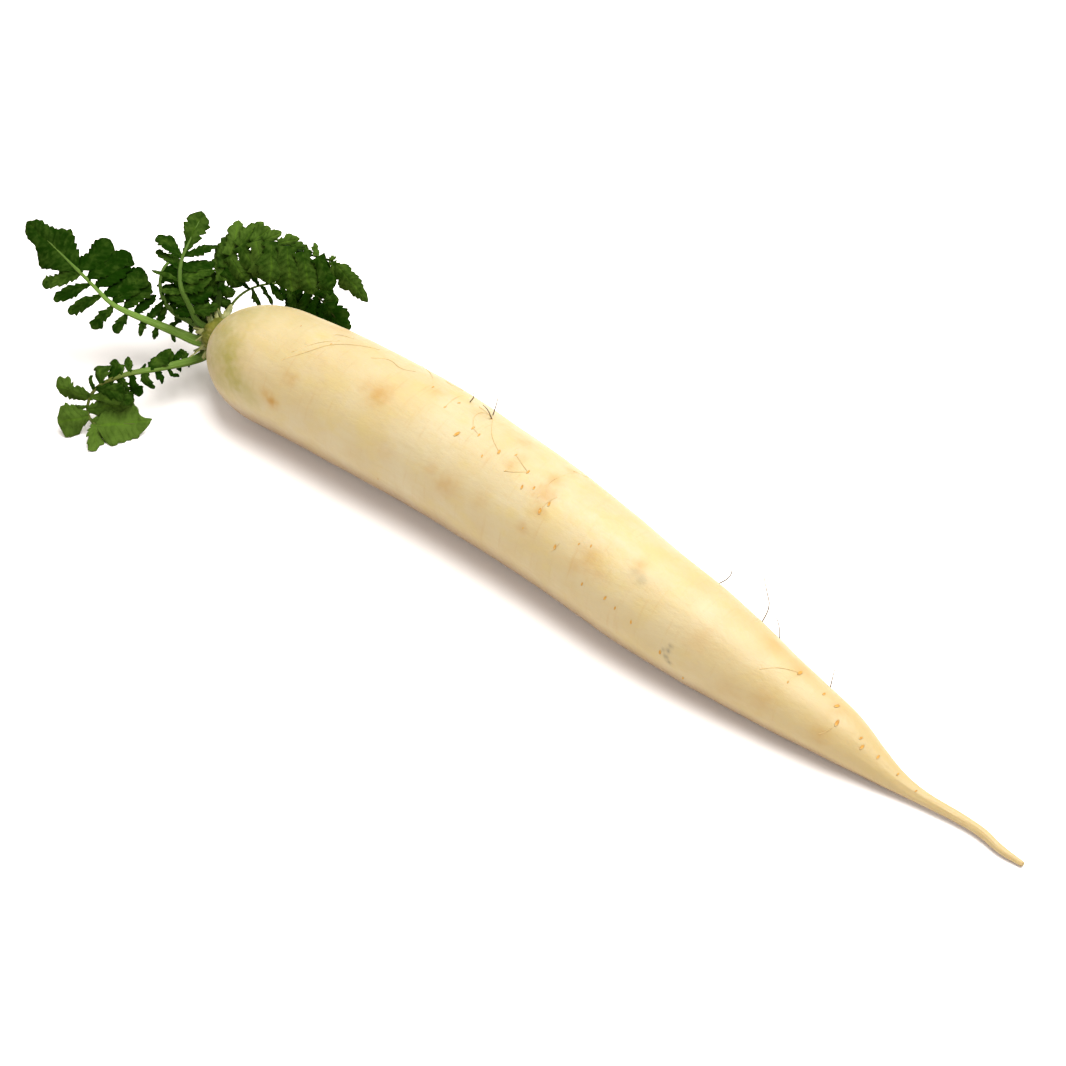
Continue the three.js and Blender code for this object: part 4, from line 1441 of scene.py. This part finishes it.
# %% One straight stalk
STALK_SIDES = 20
STALK_RINGS = 48
CHANNEL_DEPTH = 0.42
RIDGE_DEPTH = 0.05
RIDGES = 9
RIB_RINGS = 40
VEIN_REACH = 0.8
VEIN_END = 0.22
VEIN_TAPER = 0.6
SINK_FROM = 0.12
SINK_TO = 0.3
SLIM_END = 0.85
SLIM_POWER = 0.7
FLARE_END = 0.1
FLARE = 3
RIB_FLATNESS = 0.85
SHALLOWEST_CHANNEL = 0.35


def modelled_straight_stalk():
    select_none()
    bpy.ops.mesh.primitive_circle_add(
        vertices=STALK_SIDES, radius=1, fill_type="NGON", rotation=(0, 90 * DEGREE, 0)
    )
    bpy.ops.object.transform_apply(rotation=True)
    bpy.ops.object.mode_set(mode="EDIT")
    for _ in range(STALK_RINGS):
        extrude_by((1 / STALK_RINGS, 0, 0))
    return with_attributes(close_edit())


straight_stalk = modelled_straight_stalk()


def stalk_width(leaf, share):
    slim = mix(leaf["stalk"], min(1, share / SLIM_END) ** SLIM_POWER)
    flare = 1 + (FLARE_END - share) * FLARE if share < FLARE_END else 1
    return slim * flare


def lobe_heading(leaf, along, across):
    """The way the end lobe points, and the way across it."""
    turn = leaf["lobe_turn"] * DEGREE
    heading = along * math.cos(turn) + across * math.sin(turn)
    return heading, across * math.cos(turn) - along * math.sin(turn)


def stalk_rings(leaf, at, length):
    """Each ring's centre, directions, half width and length so far: the rib, then the lobe's vein."""
    rings = []
    for k in range(RIB_RINGS + 1):
        share = k / RIB_RINGS * leaf["lobe_from"]
        point, _, across, face = at(share)
        sunk = leaf["sink"] * max(0, min(1, (share - SINK_FROM) / (SINK_TO - SINK_FROM)))
        rings.append((point - face * sunk, across, face, stalk_width(leaf, share) / 2, share * length))
    point, along, across, face = at(leaf["lobe_from"])
    heading, across = lobe_heading(leaf, along, across)
    start = point - face * leaf["sink"]
    vein_rings = STALK_RINGS - RIB_RINGS
    reach = leaf["lobe"][0] * VEIN_REACH
    vein = blade_midline(start, heading, face, reach, leaf["lobe_curl"], vein_rings)
    for k, (centre, _, upward) in list(enumerate(vein))[1:]:
        widths = (stalk_width(leaf, leaf["lobe_from"]) / 2, VEIN_END)
        half = mix(widths, (k / vein_rings) ** VEIN_TAPER)
        rings.append((centre, across, upward, half, length + k))
    return rings


def bend_stalk(stalk, leaf, at, length):
    """Lays the straight stalk's points along a leaf's rib, and writes their grain and look."""
    grain = stalk.data.attributes["grain"]
    look = stalk.data.attributes["look"]
    rings = stalk_rings(leaf, at, length)
    for number, vertex in enumerate(stalk.data.vertices):
        share = min(1.0, max(0.0, vertex.co.x))
        angle = math.atan2(vertex.co.z, vertex.co.y)
        point, across, face, half, reached = rings[round(share * STALK_RINGS)]
        ridge = 1 + RIDGE_DEPTH * math.cos(RIDGES * angle)
        top = max(0.0, math.sin(angle)) ** 3
        channel = 1 - CHANNEL_DEPTH * top * max(SHALLOWEST_CHANNEL, 1 - share)
        spread = across * math.cos(angle) * half * ridge
        rise = face * math.sin(angle) * half * RIB_FLATNESS * ridge * channel
        vertex.co = (point + spread + rise) * MM
        grain.data[number].vector = (math.cos(angle), math.sin(angle), reached)
        dry = linear_value(leaf["dry"], share)
        look.data[number].vector = (linear_value(leaf["stalk_tone_and_shade"], share), dry, 0)


print("straight stalk:", len(straight_stalk.data.vertices), "points")

# %% [markdown]
# ## Putting a leaf together
# A leaf's blades are joined first and given their thickness together with Solidify. Their faces
# look down, so they carry the paler finish of the underside, and Solidify's new faces on top take
# the second finish. Then the stalk is joined to them.

# %% Putting a leaf together
BLADE_THICKNESS = 0.38
SIDE_STAGGER = 0.02


def leaflet(leaf, at, sign, k, seed):
    """One leaflet, which leans out from the rib to one side and droops."""
    way = "plus" if sign > 0 else "minus"
    sizes = leaf[way]
    length, width, *turn = sizes[k]
    share = k / (len(sizes) - 1)
    place = mix(leaf["span"], share) - (0 if sign > 0 else SIDE_STAGGER)
    point, along, across, face = at(place)
    lean_wander = leaf["lean_wander"] * wobble(seed)
    droop_wander = leaf["droop_wander"] * wobble(seed + 0.5)
    lean = (mix(leaf["lean_" + way], share) + sum(turn) + lean_wander) * DEGREE
    droop = (mix(leaf["droop_" + way], share) + droop_wander) * DEGREE
    flat = along * math.cos(lean) + across * sign * math.sin(lean)
    heading = flat * math.cos(droop) - face * math.sin(droop)
    upward = face * math.cos(droop) + flat * math.sin(droop)
    roll = leaf["roll"][0 if sign > 0 else 1] * DEGREE
    upward = upward * math.cos(roll) - heading.cross(upward) * math.sin(roll)
    tone = linear_value(leaf["tone"], place) + (0 if sign > 0 else leaf["tone_minus"])
    blade = placed_copy(flat_blade, Matrix.Identity(4), "leaflet")
    shape = POINTED if share < leaf["pointed"][0 if sign > 0 else 1] else PADDLE
    outline = [(0, leaf["foot"])] + shape
    bend_blade(
        blade, leaf, (point, heading, upward), (length, width), outline, leaf["curl"], seed, tone
    )
    return blade


def end_lobe(leaf, at, number):
    point, along, across, face = at(leaf["lobe_from"])
    heading, _ = lobe_heading(leaf, along, across)
    lobe = placed_copy(flat_blade, Matrix.Identity(4), "end_lobe")
    bend_blade(
        lobe, leaf, (point, heading, face), leaf["lobe"], leaf["lobe_shape"], leaf["lobe_curl"],
        number, linear_value(leaf["tone"], 1),
    )
    return lobe


def whole_leaf(leaf, number):
    at, length = rib_line(leaf)
    blades = []
    for sign, way in ((1, "plus"), (-1, "minus")):
        for k in range(len(leaf[way])):
            seed = number * 100 + k * 2 + (0 if sign > 0 else 1)
            blades.append(leaflet(leaf, at, sign, k, seed))
    foliage = joined(blades + [end_lobe(leaf, at, number)], leaf["name"] + "_foliage")
    foliage.data.materials.append(blade_under)
    foliage.data.materials.append(blade_upper)
    finish_with(
        foliage, "SOLIDIFY", thickness=BLADE_THICKNESS * MM, offset=0, material_offset=1,
        material_offset_rim=0,
    )
    stalk = placed_copy(straight_stalk, Matrix.Identity(4), "stalk")
    bend_stalk(stalk, leaf, at, length)
    stalk.data.materials.append(leaf_stalk)
    whole = joined([foliage, stalk], leaf["name"] + "_detail")
    bpy.ops.object.shade_smooth()
    return whole


for number, leaf in enumerate(LEAVES):
    rooted(whole_leaf(leaf, number), "leaf_green", leaf["name"])
bpy.data.objects.remove(straight_stalk)

# %% [markdown]
# ## The crown
# The crown is the short woody stem between root and leaves, ridged by old leaf scars. It starts
# as a ring on the shoulder and is extruded outwards in steps, as the solid's profile says.

# %% The crown
CROWN_CENTRE = (-8.9, 28.3)
CROWN_PROFILE = [(-5, 9.8), (-1.5, 10.6), (1.5, 10.2), (4.5, 8.4), (6.4, 5.8), (7.2, 2.6)]
CROWN_SIDES = 54
CROWN_FLUTES = 9
FLUTE_DEPTH = 0.6
FLUTE_WANDER = 2
FLUTE_WANDER_SIZE = 6
CROWN_ROUGHNESS = 0.25
CROWN_ROUGH_SIZE = 2.2
CROWN_END_INSET = 1.4


def stem_finish(name, scale, green, pale, roughness):
    """The start of a finish for the crown: green and pale patches, not yet wired in."""
    material, shader = new_finish(name)
    place = place_in_piece(material)
    broad = speckle(material, place, scale, 4)
    plain_inputs(shader, Roughness=roughness)
    return material, shader, place, tint(material, remap(material, broad, 0.35, 0.65), green, pale)


def crown_finish():
    material, shader, _, colour = stem_finish(
        "crown stem", 160, (0.06, 0.072, 0.006, 1), (0.12, 0.115, 0.015, 1), 0.65
    )
    fine = speckle(material, place_in_piece(material, (160, 900, 900)), 1, 4, 0.65)
    colour = tint(material, remap(material, fine, 0.5, 0.75, 0, 0.6), colour, (0.22, 0.19, 0.06, 1))
    wire(material, colour, shader, "Base Color")
    plain_inputs(
        shader, Specular_IOR_Level=0.1, Subsurface_Weight=0.1, Subsurface_Radius=(1.0, 0.8, 0.3),
        Subsurface_Scale=1.5 * MM,
    )
    relief(material, shader, fine, 0.25 * MM, 0.8)
    return material


crown_stem = crown_finish()


def extruded_crown():
    y, z = CROWN_CENTRE
    past, radius = CROWN_PROFILE[0]
    centre = Vector((CROWN_X - past, y, z)) * MM
    select_none()
    bpy.ops.mesh.primitive_circle_add(
        vertices=CROWN_SIDES, radius=radius * MM, fill_type="NGON", location=centre,
        rotation=(0, 90 * DEGREE, 0),
    )
    bpy.ops.object.transform_apply(location=True, rotation=True)
    bpy.ops.object.mode_set(mode="EDIT")
    for (past_before, before), (past_after, after) in zip(CROWN_PROFILE, CROWN_PROFILE[1:]):
        extrude_by((-(past_after - past_before) * MM, 0, 0))
        size = after / before
        centre = Vector((CROWN_X - past_after, y, z)) * MM
        bpy.ops.transform.resize(value=(1, size, size), center_override=centre)
    bpy.ops.mesh.inset(thickness=CROWN_END_INSET * MM)
    return close_edit()


knob = extruded_crown()
finish_with(knob, "SUBSURF", levels=1, render_levels=1)
for vertex in knob.data.vertices:
    spoke = Vector((0, vertex.co.y - CROWN_CENTRE[0] * MM, vertex.co.z - CROWN_CENTRE[1] * MM))
    angle = math.atan2(spoke.z, spoke.y)
    wander = FLUTE_WANDER * noise.noise(vertex.co / MM / FLUTE_WANDER_SIZE)
    flute = FLUTE_DEPTH * (math.cos(CROWN_FLUTES * angle + wander) - 1) * 0.5
    rough = CROWN_ROUGHNESS * noise.noise(vertex.co / MM / CROWN_ROUGH_SIZE)
    vertex.co += spoke.normalized() * (flute + rough) * MM
knob.data.materials.append(crown_stem)
only(knob)
bpy.ops.object.shade_smooth()
print("crown knob:", len(knob.data.polygons), "faces")

# %% [markdown]
# ## Stumps on the crown
# Old leaves were torn off and left stumps. A stump is a tapered slab with a rough end, made
# from a short cylinder whose end face is inset and pushed in.

# %% Stumps on the crown
STUMPS = [
    {"from": (-151, -7, 31), "to": (-159.5, -5, 35), "width": 6.0, "thick": 3.0},
    {"from": (-149, -4, 33), "to": (-154.5, -2.6, 39.5), "width": 3.2, "thick": 1.8},
    {"from": (-151, -12, 31), "to": (-157.5, -15.5, 32.5), "width": 4.2, "thick": 2.2},
    {"from": (-150, -13, 24), "to": (-155.5, -18.6, 20.6), "width": 4.0, "thick": 2.0},
]
STUMP_BACK = (0, 0.6, 0.8)
STUMP_FOOT = 1.08
STUMP_TAPER = 0.25
STUMP_ROUGHNESS = 0.16
TORN_FROM = 0.8
TORN_BY = 0.1
HOLLOW_RIM = 0.12
HOLLOW_DEPTH = 0.1


def stump_finish():
    material, shader, place, colour = stem_finish(
        "old leaf stump", 240, (0.07, 0.085, 0.012, 1), (0.13, 0.13, 0.025, 1), 0.6
    )
    fine = speckle(material, place, 1100, 4, 0.6)
    colour = tint(material, remap(material, fine, 0.5, 0.75, 0, 0.5), colour, (0.2, 0.18, 0.05, 1))
    wire(material, colour, shader, "Base Color")
    relief(material, shader, fine, 0.2 * MM, 0.7)
    return material


old_stump = stump_finish()


def modelled_stump(stump, number):
    start, end = Vector(stump["from"]) * MM, Vector(stump["to"]) * MM
    along = (end - start).normalized()
    across = Vector(STUMP_BACK).cross(along).normalized()
    select_none()
    bpy.ops.mesh.primitive_cylinder_add(vertices=16, radius=0.5, depth=1, location=(0, 0, 0.5))
    piece = bpy.context.object
    bpy.ops.object.transform_apply(location=True)
    bpy.ops.object.mode_set(mode="EDIT")
    bpy.ops.mesh.select_all(action="DESELECT")
    bpy.ops.object.mode_set(mode="OBJECT")
    for face in piece.data.polygons:
        face.select = face.normal.z > 0.9
    bpy.ops.object.mode_set(mode="EDIT")
    bpy.ops.mesh.inset(thickness=HOLLOW_RIM)
    bpy.ops.transform.translate(value=(0, 0, -HOLLOW_DEPTH))
    bpy.ops.mesh.select_all(action="SELECT")
    bpy.ops.mesh.subdivide(number_cuts=2)
    leave_edit()
    for vertex in piece.data.vertices:
        rough = noise.noise(vertex.co * 3 + Vector((number * 7, 0, 0)))
        slim = STUMP_FOOT - STUMP_TAPER * vertex.co.z + STUMP_ROUGHNESS * rough
        vertex.co.x *= stump["width"] * MM * slim
        vertex.co.y *= stump["thick"] * MM * slim
        ragged = 1 + TORN_BY * rough if vertex.co.z > TORN_FROM else 1
        vertex.co.z *= (end - start).length * ragged
    facing = Matrix((across, along.cross(across), along)).transposed().to_4x4()
    piece.data.transform(Matrix.Translation(start) @ facing)
    piece.data.materials.append(old_stump)
    return piece


stumps = [modelled_stump(stump, number) for number, stump in enumerate(STUMPS)]
print("stumps on the crown:", len(stumps))

# %% [markdown]
# ## Bracts and fibres on the crown
# Between the stalks stand dry bracts, small pale leaves that curl up, and torn strings of
# stalk. A bract is another copy of the flat blade with a strong curl, and a string is a thin
# thread. They lie on a plane through the crown that faces the camera.

# %% Bracts and fibres on the crown
BRACT_ANCHOR = (-150.5, -12.5, 35)
BRACTS = [
    {"from": (217, 332), "to": (216, 309), "width": 2.2, "curl": 18},
    {"from": (221, 328), "to": (228, 304), "width": 4.6, "curl": 34},
    {"from": (213, 330), "to": (207, 313), "width": 4.2, "curl": 20},
    {"from": (207, 333), "to": (193, 330), "width": 3.4, "curl": 60},
    {"from": (210, 338), "to": (197, 338), "width": 3.0, "curl": 50},
    {"from": (209, 344), "to": (200, 349), "width": 3.6, "curl": 36},
    {"from": (210, 350), "to": (203, 358), "width": 3.4, "curl": 30},
]
FIBRES = [
    [(190, 357), (197, 352), (202, 346)],
    [(190, 357), (200, 350), (209, 338)],
    [(204, 360), (207, 352), (209, 344)],
    [(196, 341), (203, 336), (210, 334)],
]
FIBRE_THICKNESS = 0.7
FIBRE_IN_FRONT = 1.2
BRACT_THICKNESS = 0.5
BRACT_LONGER = 1.1
BRACT_HABIT = {"cup": 0.5, "crumple": 0.5}
BRACT_OUTLINE = [(0, 0.7)] + POINTED


def bract_finish():
    material, shader, place, colour = stem_finish(
        "dry bract", 260, (0.085, 0.1, 0.014, 1), (0.2, 0.2, 0.06, 1), 0.6
    )
    wire(material, colour, shader, "Base Color")
    relief(material, shader, speckle(material, place, 1200, 3), 0.15 * MM, 0.7)
    return material


dry_bract = bract_finish()


def on_crown(pixel):
    """The point, in millimetres, where a pixel's line crosses the plane through the anchor."""
    ray = sight_line(pixel)
    reach = (Vector(BRACT_ANCHOR) * MM - CAMERA_PLACE).dot(LOOK) / ray.dot(LOOK)
    return (CAMERA_PLACE + ray * reach) / MM


def modelled_bract(bract, number):
    start, end = on_crown(bract["from"]), on_crown(bract["to"])
    along = (end - start).normalized()
    size = ((end - start).length * BRACT_LONGER, bract["width"])
    stance = (start, along, -LOOK)
    blade = placed_copy(flat_blade, Matrix.Identity(4), "bract")
    bend_blade(blade, BRACT_HABIT, stance, size, BRACT_OUTLINE, bract["curl"], number + 700, 0)
    blade.data.materials.append(dry_bract)
    finish_with(blade, "SOLIDIFY", thickness=BRACT_THICKNESS * MM, offset=0)
    return blade


def modelled_fibre(pixels):
    points = [(on_crown(pixel) - LOOK * FIBRE_IN_FRONT) * MM for pixel in pixels]
    fibre = thread_through(points, FIBRE_THICKNESS, "fibre")
    fibre.data.materials.clear()
    fibre.data.materials.append(dry_bract)
    return fibre


bracts = [modelled_bract(bract, number) for number, bract in enumerate(BRACTS)]
fibres = [modelled_fibre(pixels) for pixels in FIBRES]
bpy.data.objects.remove(flat_blade)
crown = joined([knob] + stumps + bracts + fibres, "crown_detail")
only(crown)
edit_all()
close_edit()
bpy.ops.object.shade_smooth_by_angle(angle=50 * DEGREE)
rooted(crown, "crown_stem", "crown")
